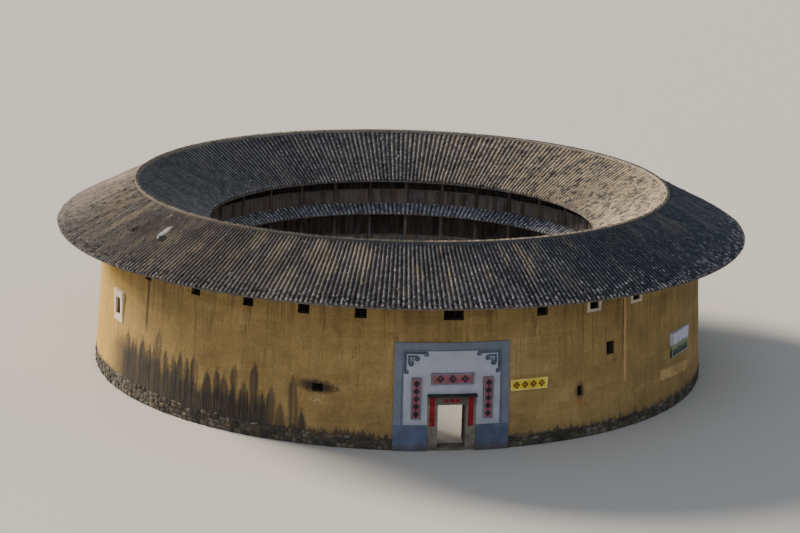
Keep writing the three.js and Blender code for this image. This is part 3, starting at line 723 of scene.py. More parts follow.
class EARTHHOUSE_OT_windows(bpy.types.Operator):
    """Sets a timber frame with upright bars in each opening of the wall"""
    bl_idname = "earthhouse.windows"
    bl_label = "Windows"

    def execute(self, context):
        frames = Surface()
        for seed, (angle, width, bottom, top) in enumerate(WINDOWS):
            middle = (bottom + top) / 2
            r = wall_r(middle) - 0.17
            board = 0.055 if width > 0.4 else 0.035
            half_w, half_h = width / 2 - 0.002, (top - bottom) / 2 - 0.002
            side = math.degrees((half_w - board / 2) / r)
            bars(frames, [angle - side, angle + side], r, middle, (board / 2, 0.05, half_h), along=2,
                 seed=seed)
            bars(frames, angle, r, [bottom + board / 2, top - board / 2], (half_w - board, 0.045, board / 2),
                 along=0, seed=seed + 50)
            count = max(1, round((width - 2 * board) / 0.115) - 1)
            places = (np.arange(count) + 1) / (count + 1) * 2 - 1
            bars(frames, angle + places * math.degrees((half_w - board) / r), r, middle,
                 (0.014, 0.014, half_h - board), along=2, chamfer=0.5, seed=seed + 90)
        # The frames are dimmed with painted shade, as they sit deep in the openings
        frames.piece("window_frames", "dark_timber", [timber_finish("window_timber", 0.35)])
        return {"FINISHED"}


def on_wall(s, z, lift):
    """Points that stand out by lift from the round wall, s metres round it from the gate's centre line."""
    return polar(np.degrees(np.asarray(s) / WALL_MEAN_R), wall_r(z) + lift, z)


def on_board(board):
    """The same for the flat face of a board: s metres sideways from its centre line."""
    angle, _, bottom, _, proud = board

    def place(s, z, lift):
        s, z, lift = np.broadcast_arrays(np.asarray(s, float), np.asarray(z, float), np.asarray(lift, float))
        side = np.array([math.cos(radians(angle)), math.sin(radians(angle)), 0.0])
        return polar(angle, wall_r(bottom) + proud + lift, z) + s[..., None] * side

    return place


def ribbon(surface, place, path, width, lift, thick, closed=False, tone=0.5, finish=0):
    """Adds a flat raised strip along a path of (s, z) points laid on a face, with mitred corners.

    Each corner's sideways step is the sum of the two sides' normals over one plus their product, so the strip
    keeps its width. The section is a rectangle from just under the face up to thick above it.
    """
    ahead = np.roll(path, -1, 0) - path
    if not closed:
        ahead[-1] = ahead[-2]
    ahead /= np.linalg.norm(ahead, axis=1)[:, None]
    behind = np.roll(ahead, 1, 0)
    if not closed:
        behind[0] = ahead[0]
    normal_a, normal_b = ahead[:, ::-1] * [-1, 1], behind[:, ::-1] * [-1, 1]
    step = (normal_a + normal_b) / np.maximum(1 + (normal_a * normal_b).sum(1), 0.35)[:, None]
    points = [place(*(path + step * side * width / 2).T, high)
              for side, high in ((-1, lift), (-1, lift + thick), (1, lift + thick), (1, lift))]
    count = len(path)
    faces = quads(count, 4, closed, True)
    if not closed:
        faces = np.concatenate([faces, [[3, 2, 1, 0]], np.arange(4)[None] + 4 * count - 4])
    run = np.append(0, np.cumsum(np.linalg.norm(np.diff(path, axis=0), axis=1)))
    uv = paired(run[:, None], np.array([0, 0.02, 0.02 + width, 0.04 + width]))
    surface.add(np.stack(points, 1), faces, uv, tone, finish)


def loop(centre, radius, lobes, depth, count=48, turn=0.0):
    """A closed path round a centre whose radius swells once a lobe: r (1 + depth cos(lobes t))."""
    t = np.arange(count) * 2 * np.pi / count
    r = radius * (1 + depth * np.cos(lobes * t))
    return np.stack([centre[0] + r * np.cos(t + turn), centre[1] + r * np.sin(t + turn)], -1)


def curl(start, size, heading, hand, turns=1.6, count=30):
    """A path that leaves a point and winds in on itself: an arc whose radius shrinks evenly to a fifth."""
    t = np.linspace(0, turns * 2 * np.pi, count)
    r = size * (1 - 0.8 * t / t[-1])
    normal = heading + hand * np.pi / 2
    centre = np.array(start) + size * np.array([np.cos(normal), np.sin(normal)])
    a = normal + np.pi + hand * t
    return np.stack([centre[0] + r * np.cos(a), centre[1] + r * np.sin(a)], -1)


def bend(corners, steps=12):
    """A path with straight sides between corners, in short steps so that it can follow the round wall."""
    corners = np.array(corners)
    sides = [np.linspace(a, b, steps, endpoint=False) for a, b in zip(corners[:-1], corners[1:])]
    return np.concatenate(sides + [corners[-1:]])


def rosette(surface, place, centre, size, thick):
    """Adds a generic flower: a four-lobed line round a smaller turned one."""
    outer, inner = loop(centre, size * 0.66, 4, 0.26), loop(centre, size * 0.30, 4, 0.30, 32, 0.785)
    ribbon(surface, place, outer, size * 0.42, -ORNAMENT_SINK, thick, True, 0.4, 1)
    ribbon(surface, place, inner, size * 0.16, -ORNAMENT_SINK, thick * 1.2, True, 0.6, 1)


def lozenge(surface, place, height):
    """Adds a generic diamond ring with a smaller diamond inside it."""
    for share in (1.0, 0.42):
        corners = np.array([[0.115, 0], [0, 0.135], [-0.115, 0], [0, -0.135]]) * share + [0.0, height]
        ribbon(surface, place, corners, 0.072, -ORNAMENT_SINK, 0.008, True, 0.5, 1)


def frame_path(half_w, low, high):
    """The four corners of an upright rectangle about the centre line."""
    return np.array([[half_w, low], [half_w, high], [-half_w, high], [-half_w, low]])


def edging(surface, board, width, thick, lift=-LINE_SINK):
    """Adds a raised strip round the edge of a board and gives the board's face to place things on."""
    place = on_board(board)
    path = frame_path(board[1] / 2 - width / 2, board[2] + width / 2, board[3] - width / 2)
    ribbon(surface, place, path, width, lift, thick, True)
    return place


class HouseGate(bpy.types.PropertyGroup):
    line: metres("Line width", "Width of the painted lines in relief", 0.07)
    blue: tint("Border", "Colour of the blue-grey border", (0.175, 0.205, 0.265))
    deep_blue: tint("Dado", "Colour of the dado", (0.095, 0.120, 0.190))
    pale: tint("Field", "Colour of the pale field", (0.425, 0.445, 0.53))
    ink: tint("Ornament", "Colour of the corner scrolls", (0.072, 0.100, 0.155))
    red: tint("Faded red", "Colour of the plaque and the panels", (0.30, 0.105, 0.125))
    bright_red: tint("Red paper", "Colour of the red papers", (0.25, 0.012, 0.020))
    yellow: tint("Yellow", "Colour of the sign board", (0.72, 0.56, 0.045))


# Lines of a corner scroll, in metres in and down from the field's corner, and their widths in line widths
SCROLL = [(bend([(0.08, 1.10), (0.08, 0.08), (1.18, 0.08)]), 2.0, False),
          (bend([(0.08, 1.10), (0.21, 1.10), (0.21, 0.93)]), 1.3, False),
          (bend([(1.18, 0.08), (1.18, 0.21), (1.00, 0.21)]), 1.3, False),
          (bend([(0.26, 0.62), (0.26, 0.26), (0.66, 0.26)]), 1.6, False),
          (curl((0.66, 0.26), 0.12, 0.0, 1), 1.1, False),
          (curl((0.26, 0.62), 0.12, np.pi / 2, -1), 1.1, False),
          (loop((0.44, 0.44), 0.07, 4, 0.28, 32), 0.6, True)]


class EARTHHOUSE_OT_gate_plaster(bpy.types.Operator):
    """Plasters the blue border and dado and the pale field round the gate, with scrolls in two corners"""
    bl_idname = "earthhouse.gate_plaster"
    bl_label = "Gate plaster"

    def execute(self, context):
        gate = settings("house_gate")
        window = (0.0, 2 * HOLE_R * radians(FIELD_HALF), FIELD_BOTTOM, FIELD_TOP)
        border, field = Surface(), Surface()
        for surface, half, bottom, top, thick, holes in (
                (border, BORDER_HALF, 0.0, BORDER_TOP, BORDER_THICK, [GATE_HOLE, window]),
                (field, FIELD_HALF, FIELD_BOTTOM, FIELD_TOP, FIELD_THICK, [GATE_HOLE])):
            columns = wall_columns(0.35, holes, (-half, half, 58))
            levels = wall_levels(bottom, top, 0.16, [h for hole in holes for h in hole[2:] if h > 0])
            z = np.broadcast_to(levels, (len(columns), len(levels)))
            angle = column_angles(columns, wall_r(z))
            trowel = 0.0018 * np.sin(angle * 5.1 + z * 3) + 0.0015 * np.sin(angle * 2.3 - z * 7)
            outer, inner = polar(angle, wall_r(z) + thick + trowel, z), polar(angle, wall_r(z) - 0.03, z)
            pierced_shell(surface, outer, inner, kept_cells(columns, levels, holes), False,
                          paired(radians(angle) * WALL_MEAN_R, z))
        side = radians(FIELD_HALF) * WALL_MEAN_R
        edge = frame_path(side + 0.05, FIELD_BOTTOM - 0.05, FIELD_TOP + 0.05)
        head = paired(np.linspace(-side - 0.025, side + 0.025, 40), edge[1, 1])
        for path in (edge[:2], edge[[3, 2]], head):
            ribbon(border, on_wall, path, 0.05, BORDER_THICK - LINE_SINK, 0.012, finish=1)
        for hand in (-1, 1):
            for path, width, closed in SCROLL:
                path = np.stack([hand * (side - path[:, 0]), FIELD_TOP - path[:, 1]], -1)
                ribbon(field, on_wall, path, gate.line * width, FIELD_THICK - LINE_SINK, 0.010, closed,
                       finish=1)
        lines = ink_finish("border_line", (0.105, 0.125, 0.180))
        border.piece("gate_border_plaster", "blue_limewash", [border_finish(), lines], ["gate_border"])
        scrolls = ink_finish("field_scroll", gate.ink)
        field.piece("gate_field_plaster", "pale_limewash", [field_finish(), scrolls], ["gate_field"])
        return {"FINISHED"}


class EARTHHOUSE_OT_gate_boards(bpy.types.Operator):
    """Frames the plaque, the upright panels, the sign and the picture board, with generic ornaments"""
    bl_idname = "earthhouse.gate_boards"
    bl_label = "Boards"

    def execute(self, context):
        gate = settings("house_gate")
        plaque, sign, picture, papers = Surface(), Surface(), Surface(), Surface()
        place = edging(plaque, PLAQUE, 0.07, 0.016)
        for s in (-0.62, 0.0, 0.62):
            rosette(plaque, place, (s, (PLAQUE[2] + PLAQUE[3]) / 2), 0.19, 0.010)
        for board in PANELS:
            place = edging(plaque, board, 0.06, 0.012)
            for z in np.linspace(board[2] + 0.27, board[3] - 0.27, 5):
                lozenge(plaque, place, z)
        finishes = [ink_finish("panel_frame", gate.blue), ink_finish("panel_ornament", (0.045, 0.035, 0.05))]
        plaque.piece("plaque_and_panel_frames", "blue_limewash", finishes)
        place = edging(sign, SIGN, 0.06, 0.009, -ORNAMENT_SINK)
        for s in np.linspace(-0.69, 0.69, 4):
            rosette(sign, place, (s, (SIGN[2] + SIGN[3]) / 2), 0.17, 0.006)
        finishes = [paint_finish("sign_edge", (0.80, 0.70, 0.28)),
                    paint_finish("sign_ornament", (0.13, 0.055, 0.02))]
        sign.piece("sign_trim", "yellow_paint", finishes)
        edging(picture, PICTURE, 0.04, 0.018)
        picture.piece("picture_board_edge", "board_print", [paint_finish("board_edge", (0.42, 0.43, 0.45))])
        for x in (-0.98, 0.95):
            bars(papers, 0, JAMB_FRONT, 2.025, (0.135, 0.005, 0.80), shift=x, along=2, tone=0.3, chamfer=0.3)
        for x, z in ((-0.27, 2.53), (0.0, 2.54), (0.27, 2.53)):
            bars(papers, 0, JAMB_FRONT, z, (0.105, 0.004, 0.085), shift=x, along=2, tone=0.8, chamfer=0.3)
        papers.piece("red_papers", "red_paint", [paper_finish("red_paper", gate.bright_red)])
        return {"FINISHED"}


class EARTHHOUSE_OT_gate_leaves(bpy.types.Operator):
    """Builds each leaf of the gate from planks, battens, studs, a ring and its pivot post"""
    bl_idname = "earthhouse.gate_leaves"
    bl_label = "Gate leaves"

    def studs(self, leaf, x, front, centres, heights):
        """A low cone on each plank at each batten, in eight sides."""
        ring = np.arange(8)
        after = (ring + 1) % 8
        t = ring * np.pi / 4
        rim = np.stack([np.full(8, front * 0.024), 0.016 * np.cos(t), 0.016 * np.sin(t)], -1)
        stud = np.concatenate([rim, [[front * 0.032, 0, 0], [front * 0.020, 0, 0]]])
        y, z = (grid.ravel() for grid in np.meshgrid(centres, heights))
        places = np.stack([np.full(len(y), x), y, z], -1)[:, None]
        fans = [np.stack([ring, after, ring * 0 + 8], -1), np.stack([after, ring, ring * 0 + 9], -1)]
        faces = np.concatenate(fans)[:, ::front] + np.arange(len(y))[:, None, None] * len(stud)
        leaf.add(places + stud, faces.reshape(-1, 3), tone=0.5, finish=1)

    def knocker(self, leaf, x, front):
        """A ring that hangs from a small block: a circle of circles."""
        turn = (np.arange(20) * 2 * np.pi / 20)[:, None]
        section = (np.arange(6) * 2 * np.pi / 6)[None, :]
        big, small = 0.055, 0.008
        y, z = LEAF_Y + LEAF_LONG - 0.11, RING_Z
        r = big + small * np.cos(section)
        points = [x + front * (0.036 + small * np.sin(section)), y + r * np.cos(turn), z + r * np.sin(turn)]
        points = np.stack(np.broadcast_arrays(*points), -1)
        leaf.add(points, quads(20, 6, True, True)[:, ::front], tone=0.5, finish=1)
        bars(leaf, 0, -y, z + big + 0.004, (0.012, 0.022, 0.022), shift=x + front * 0.033, chamfer=0.6,
             tone=0.5, finish=1)

    def post(self, leaf, x, low, high, radius):
        """A round post with sixteen sides."""
        t = np.arange(16) * np.pi / 8
        circle = np.stack([x + radius * np.cos(t), LEAF_Y + radius * np.sin(t)], -1)
        points = np.stack([np.column_stack([circle, np.full(16, z)]) for z in (low, high)], 1)
        uv = paired((t * radius)[:, None], np.array([0, 2.3]))
        start = leaf.add(points, quads(16, 2, True), uv, 0.4)
        rim = np.arange(16)[None] * 2 + start
        leaf.faces(rim[:, ::-1])
        leaf.faces(rim + 1)

    def paper(self, leaf, x, front):
        """A thin square of paper, set on its corner."""
        corners = np.array([[0, -1], [1, 0], [0, 1], [-1, 0]]) * 0.17
        y, z = LEAF_Y + 0.43 + corners[:, 0], PAPER_Z + corners[:, 1]
        points = [np.column_stack([np.full(4, x + front * depth), y, z]) for depth in (0.026, 0.030)]
        ring = np.arange(4)
        after = (ring + 1) % 4
        sides = np.stack([ring, after, after + 4, ring + 4], -1)
        faces = np.concatenate([[[3, 2, 1, 0], [4, 5, 6, 7]], sides])
        leaf.add(points, faces[:, ::front], np.tile(corners, (2, 1)), 0.6, 2)

    def execute(self, context):
        planks, near = 4, LEAF_Y + 0.035
        wide = (LEAF_Y + LEAF_LONG - near) / planks
        centres = near + wide * (np.arange(planks) + 0.5)
        middle = (LEAF_FOOT + LEAF_HEAD) / 2
        for side, hand in (("left", -1), ("right", 1)):
            leaf, x, front = Surface(), hand * LEAF_X, -hand
            bars(leaf, 0, -centres, middle, (0.017, wide / 2 - 0.002, middle - LEAF_FOOT),
                 shift=x + front * 0.008, along=2, seed=61)
            bars(leaf, 0, -(near + LEAF_Y + LEAF_LONG) / 2, BATTENS, (0.0105, 0.36, 0.055),
                 shift=x - front * 0.0195, seed=62)
            self.studs(leaf, x, front, centres, BATTENS)
            self.knocker(leaf, x, front)
            self.post(leaf, x, LEAF_FOOT, LEAF_HEAD, LEAF_POST_SIZE)
            self.post(leaf, x, PIVOT_FOOT, PIVOT_HEAD, PIVOT_SIZE)
            self.paper(leaf, x, front)
            # The leaves are dimmed with painted shade, as they stand in the gate's passage
            finishes = [timber_finish(f"leaf_timber_{side}", 0.65), iron_finish(f"leaf_iron_{side}"),
                        paper_finish(f"leaf_paper_{side}", settings("house_gate").bright_red)]
            leaf.piece(f"gate_leaf_{side}_boards", "dark_timber", finishes, [f"gate_leaf_{side}"],
                       f"{side}_leaf")
        return {"FINISHED"}


class HouseTimber(bpy.types.PropertyGroup):
    rafter: metres("Rafter", "Width of a rafter", 0.085)
    planks: whole("Planks a bay", "Upright planks in one bay of a room front", 9)
    dark: tint("Dark timber", "Colour of smoke-dark timber", (0.060, 0.052, 0.050))
    warm: tint("Warm timber", "Colour of worn timber", (0.190, 0.145, 0.110))
    grey: tint("Grey timber", "Colour of weathered timber", (0.215, 0.212, 0.220))


def chord(r):
    """Radius of the middle and half the length of a straight timber between two bay lines."""
    return r * math.cos(radians(BAY / 2)), r * math.sin(radians(BAY / 2))


def bay_planks(surface, r, low, high, count, angles, inset, seed):
    """Adds upright planks that fill each bay along its chord, side by side with thin joints."""
    middle_r, half = chord(r)
    half -= inset
    places = (np.arange(count) + 0.5) / count * 2 - 1
    wander = np.random.default_rng(seed).normal(0, 0.002, count * len(angles))
    bars(surface, np.repeat(angles, count), middle_r + wander, (low + high) / 2,
         (half / count - 0.0025, 0.012, (high - low) / 2), shift=np.tile(places * half, len(angles)), along=2,
         seed=seed)


class EARTHHOUSE_OT_galleries(bpy.types.Operator):
    """Builds the posts, beams, parapets, brackets and floors of the three galleries"""
    bl_idname = "earthhouse.galleries"
    bl_label = "Galleries"

    def brackets(self, gallery):
        """Arms at the bay lines and small rafters that carry the skirt roof."""
        tip = POST_R - 0.1 - 0.75
        top = SKIRT.high_z - 0.12 - SKIRT.rise * 0.75
        bars(gallery, BAY_LINES, (tip + POST_R) / 2, top - 0.065, (0.052, (POST_R - tip) / 2, 0.063), seed=89)
        reach, centre = (SKIRT.high_r - SKIRT.eave_r) / 2, (SKIRT.high_r + SKIRT.eave_r) / 2
        bars(gallery, round_ring(4 * BAYS, 0.5), centre, SKIRT.top(centre) - 0.14,
             (0.028, (reach - 0.06) * SKIRT.stretch, 0.026), slope=SKIRT.tilt, seed=90)

    def execute(self, context):
        middle, half = chord(POST_R)
        under = STOREYS["ground"][1]
        ground = Surface()
        bars(ground, BAY_LINES[1:], POST_R, (POST_BASE + under) / 2,
             (POST_HALF, POST_HALF, (under - POST_BASE) / 2), along=2, chamfer=0.25, seed=71)
        bars(ground, BAY_LINES[1:], POST_R, POST_BASE / 2, (2 * POST_HALF, 2 * POST_HALF, POST_BASE / 2),
             along=2, chamfer=0.35, tone=0.5, finish=1, seed=72)
        bars(ground, BAY_MIDDLES, middle, under - 0.112, (half - 0.085, 0.085, 0.11), along=0, seed=73)
        ground.piece("gallery_ground_timbers", "dark_timber",
                     [timber_finish("post_timber"), stone_finish("post_base")], ["gallery_ground"])
        for storey, name in enumerate(("second", "third")):
            low, high = STOREYS[name]
            gallery = Surface()
            bars(gallery, BAY_LINES, POST_R, (low + high) / 2,
                 (POST_HALF, POST_HALF, (high - low) / 2 - 0.001), along=2, chamfer=0.25, seed=81 + storey)
            bay_planks(gallery, POST_R, low + 0.10, low + 0.88, 8, BAY_MIDDLES, 0.10, 83 + storey)
            for z, deep, tall, seed in ((low + 0.06, 0.030, 0.045, 85), (low + 0.905, 0.034, 0.040, 85),
                                        (high - 0.08, 0.06, 0.075, 87)):
                bars(gallery, BAY_MIDDLES, middle, z, (half - 0.09, deep, tall), along=0, seed=seed + storey)
            if name == "second":
                self.brackets(gallery)
            gallery.piece(f"gallery_{name}_timbers", "dark_timber", [timber_finish(f"gallery_{name}_timber")],
                          [f"gallery_{name}"])
        for name, top in zip(("second", "third"), FLOOR_TOPS):
            floor = Surface()
            back, under, near = WALL_INNER_R - 0.001, top - 0.035, FLOOR_EDGE_R + 0.02
            tube(floor, [(back, under), (back, top), (FLOOR_EDGE_R, top), (FLOOR_EDGE_R, under)],
                 round_ring(4 * BAYS), 0.5)
            bars(floor, round_ring(4 * BAYS, 0.5), (near + WALL_INNER_R) / 2, top - 0.093,
                 (0.05, (WALL_INNER_R - near) / 2 - 0.002, 0.056), seed=95)
            floor.piece(f"floor_{name}_boards", "dark_timber", [floor_finish(f"floor_{name}_board")],
                        [f"floor_{name}"])
        return {"FINISHED"}


class EARTHHOUSE_OT_room_fronts(bpy.types.Operator):
    """Builds the plank walls of the rooms behind each gallery, with a framed door panel and a barred light"""
    bl_idname = "earthhouse.room_fronts"
    bl_label = "Room fronts"

    def execute(self, context):
        middle, half = chord(ROOM_FRONT_R)
        for storey, (name, (low, high)) in enumerate(STOREYS.items()):
            front = Surface()
            low, high = low + 0.001, high - 0.001
            first = 1 if name == "ground" else 0
            middles, lines = BAY_MIDDLES[first:BAYS - first], BAY_LINES[first:]
            bay_planks(front, ROOM_FRONT_R, low + 0.06, high - 0.06, settings("house_timber").planks, middles,
                       0.07, 101 + storey)
            bars(front, lines, ROOM_FRONT_R, (low + high) / 2, (0.07, 0.049, (high - low) / 2), along=2,
                 seed=105)
            for z in (low + 0.05, high - 0.05):
                bars(front, middles, middle, z, (half - 0.068, 0.032, 0.05), along=0, seed=107)
            tall, sill = min(1.85, high - low - 0.35), low + 0.9
            light = min(0.75, high - sill - 0.3)
            # Door posts and head, bars of the light, its sill and head: height, half sizes, side, axis, seed
            parts = [(low + tall / 2 + 0.05, (0.035, 0.022, tall / 2), s, 2, 111) for s in (-0.82, -0.06)]
            parts += [(low + tall + 0.085, (0.42, 0.024, 0.04), -0.44, 0, 113)]
            parts += [(sill + light / 2, (0.012, 0.012, light / 2), s, 2, 115)
                      for s in np.linspace(0.30, 0.86, 7)]
            parts += [(z, (0.34, 0.022, 0.03), 0.58, 0, 117) for z in (sill, sill + light)]
            for z, halves, s, along, seed in parts:
                bars(front, middles, middle - 0.026, z, halves, shift=s, along=along, seed=seed)
            if name == "ground":
                places = np.linspace(ROOM_FRONT_R + 0.05, WALL_INNER_R - 0.06, 11)
                width = (places[-1] - places[0]) / 10
                for angle in (BAY, -BAY):
                    bars(front, angle, (places[1:] + places[:-1]) / 2, (low + high) / 2,
                         (0.02, width / 2 - 0.002, (high - low) / 2), along=2, seed=119)
            front.piece(f"room_front_{name}_planks", "dark_timber",
                        [timber_finish(f"room_front_{name}_timber")], [f"room_front_{name}"])
        return {"FINISHED"}


def socket_of(sockets, key):
    """A node's socket by number, by identifier or by name."""
    if isinstance(key, int):
        return sockets[key]
    named = [socket for kind in ("identifier", "name") for socket in sockets if getattr(socket, kind) == key]
    return named[0]


def arithmetic(operation, reflected=False):
    """A method of Field that adds one Math node."""
    def work(self, *others):
        values = (*others, self) if reflected else (self, *others)
        return self.finish.node("ShaderNodeMath", {"operation": operation}, dict(enumerate(values)))
    return work


class Field:
    """A value or a colour that varies over a surface. Arithmetic on it adds the Math nodes for it."""

    def __init__(self, finish, socket):
        self.finish, self.socket = finish, socket

    __add__ = __radd__ = arithmetic("ADD")
    __mul__ = __rmul__ = arithmetic("MULTIPLY")
    __sub__, __rsub__ = arithmetic("SUBTRACT"), arithmetic("SUBTRACT", True)
    __truediv__, __pow__ = arithmetic("DIVIDE"), arithmetic("POWER")
    floor, fract, size = arithmetic("FLOOR"), arithmetic("FRACT"), arithmetic("ABSOLUTE")
    least, most, bearing = arithmetic("MINIMUM"), arithmetic("MAXIMUM"), arithmetic("ARCTAN2")

    def __neg__(self):
        return self * -1.0

    def smooth(self, low, high, start=0.0, end=1.0):
        """A soft step: start below low, end above high."""
        inputs = {"Value": self, "From Min": low, "From Max": high, "To Min": start, "To Max": end}
        return self.finish.node("ShaderNodeMapRange", {"interpolation_type": "SMOOTHSTEP"}, inputs)

    def fall(self, low, high):
        """A soft step down: 1 below low, 0 above high."""
        return self.smooth(low, high, 1.0, 0.0)

    def swing(self, amount):
        """Noise from 0 to 1 turned into a swing about zero."""
        return (self - 0.5) * amount


class Finish:
    """One material, painted in coats. node() adds any node; the other methods name what finishes share."""

    def __init__(self, name, roughness):
        self.material = bpy.data.materials.new(name)
        self.material.use_nodes = True
        self.tree = self.material.node_tree
        self.tree.nodes.clear()
        self.shader = self.tree.nodes.new("ShaderNodeBsdfPrincipled")
        output = self.tree.nodes.new("ShaderNodeOutputMaterial")
        self.tree.links.new(self.shader.outputs[0], output.inputs[0])
        self.feed(self.shader.inputs["Roughness"], roughness)
        self.feed(self.shader.inputs["Specular IOR Level"], 0.25)

    def feed(self, socket, value):
        if isinstance(value, Field):
            self.tree.links.new(value.socket, socket)
        elif hasattr(value, "__len__"):
            socket.default_value = (*value, 1.0)[:len(socket.default_value)]
        else:
            socket.default_value = value

    def node(self, kind, options=None, inputs=None, output=0):
        """Adds a node: its settings first, then the values or links of its sockets."""
        node = self.tree.nodes.new(kind)
        for key, value in (options or {}).items():
            setattr(node, key, value)
        for key, value in (inputs or {}).items():
            self.feed(socket_of(node.inputs, key), value)
        return Field(self, socket_of(node.outputs, output))

    def axes(self, space, count):
        """The separate coordinates of one output of the Texture Coordinate node."""
        point = self.node("ShaderNodeTexCoord", output=space)
        return [self.node("ShaderNodeSeparateXYZ", inputs={0: point}, output=axis) for axis in range(count)]

    @cached_property
    def xyz(self):
        return self.axes("Object", 3)

    @cached_property
    def uv(self):
        return self.axes("UV", 2)

    @cached_property
    def spot(self):
        return self.vector(*self.xyz)

    @cached_property
    def tone(self):
        return self.node("ShaderNodeAttribute", {"attribute_name": "tone"}, output="Fac")

    def vector(self, x, y, z):
        return self.node("ShaderNodeCombineXYZ", inputs={0: x, 1: y, 2: z})

    def noise(self, scale, detail, roughness=0.55, distortion=0.0, at=None):
        """Cloudy noise over the piece, or at a place worked out from other fields."""
        inputs = {"Vector": self.spot if at is None else self.vector(*at), "Scale": scale, "Detail": detail,
                  "Roughness": roughness, "Distortion": distortion}
        return self.node("ShaderNodeTexNoise", inputs=inputs)

    def drawn(self, x, y, z, detail, roughness=0.55, distortion=0.0):
        """Noise drawn out by factors on the coordinates."""
        return self.noise(1.0, detail, roughness, distortion, (x, y, z))

    def random(self, x, y, z):
        """One even random number for each whole-numbered cell."""
        return self.node("ShaderNodeTexWhiteNoise", inputs={"Vector": self.vector(x, y, z)}, output="Value")

    def mix(self, share, first, second, kind="MIX"):
        """Two colours blended by a share."""
        return self.node("ShaderNodeMix", {"data_type": "RGBA", "blend_type": kind},
                         {"Factor_Float": share, "A_Color": first, "B_Color": second}, "Result_Color")

    def base(self, share, first, second):
        self.colour = self.mix(share, first, second)

    def coat(self, share, colour):
        """Lays a colour over what is there, by a share."""
        self.colour = self.mix(share, self.colour, colour)

    def glaze(self, share, by):
        """Multiplies what is there towards a colour, by a share."""
        self.colour = self.mix(share, self.colour, by, "MULTIPLY")

    def done(self, height=None, distance=0.01, roughness=None):
        """Feeds the shader and hands over the material; height is in shares of distance, in metres."""
        self.feed(self.shader.inputs["Base Color"], self.colour)
        if roughness is not None:
            self.feed(self.shader.inputs["Roughness"], roughness)
        if height is not None:
            inputs = {"Strength": 1.0, "Distance": distance, "Height": height}
            self.feed(self.shader.inputs["Normal"], self.node("ShaderNodeBump", inputs=inputs))
        return self.material


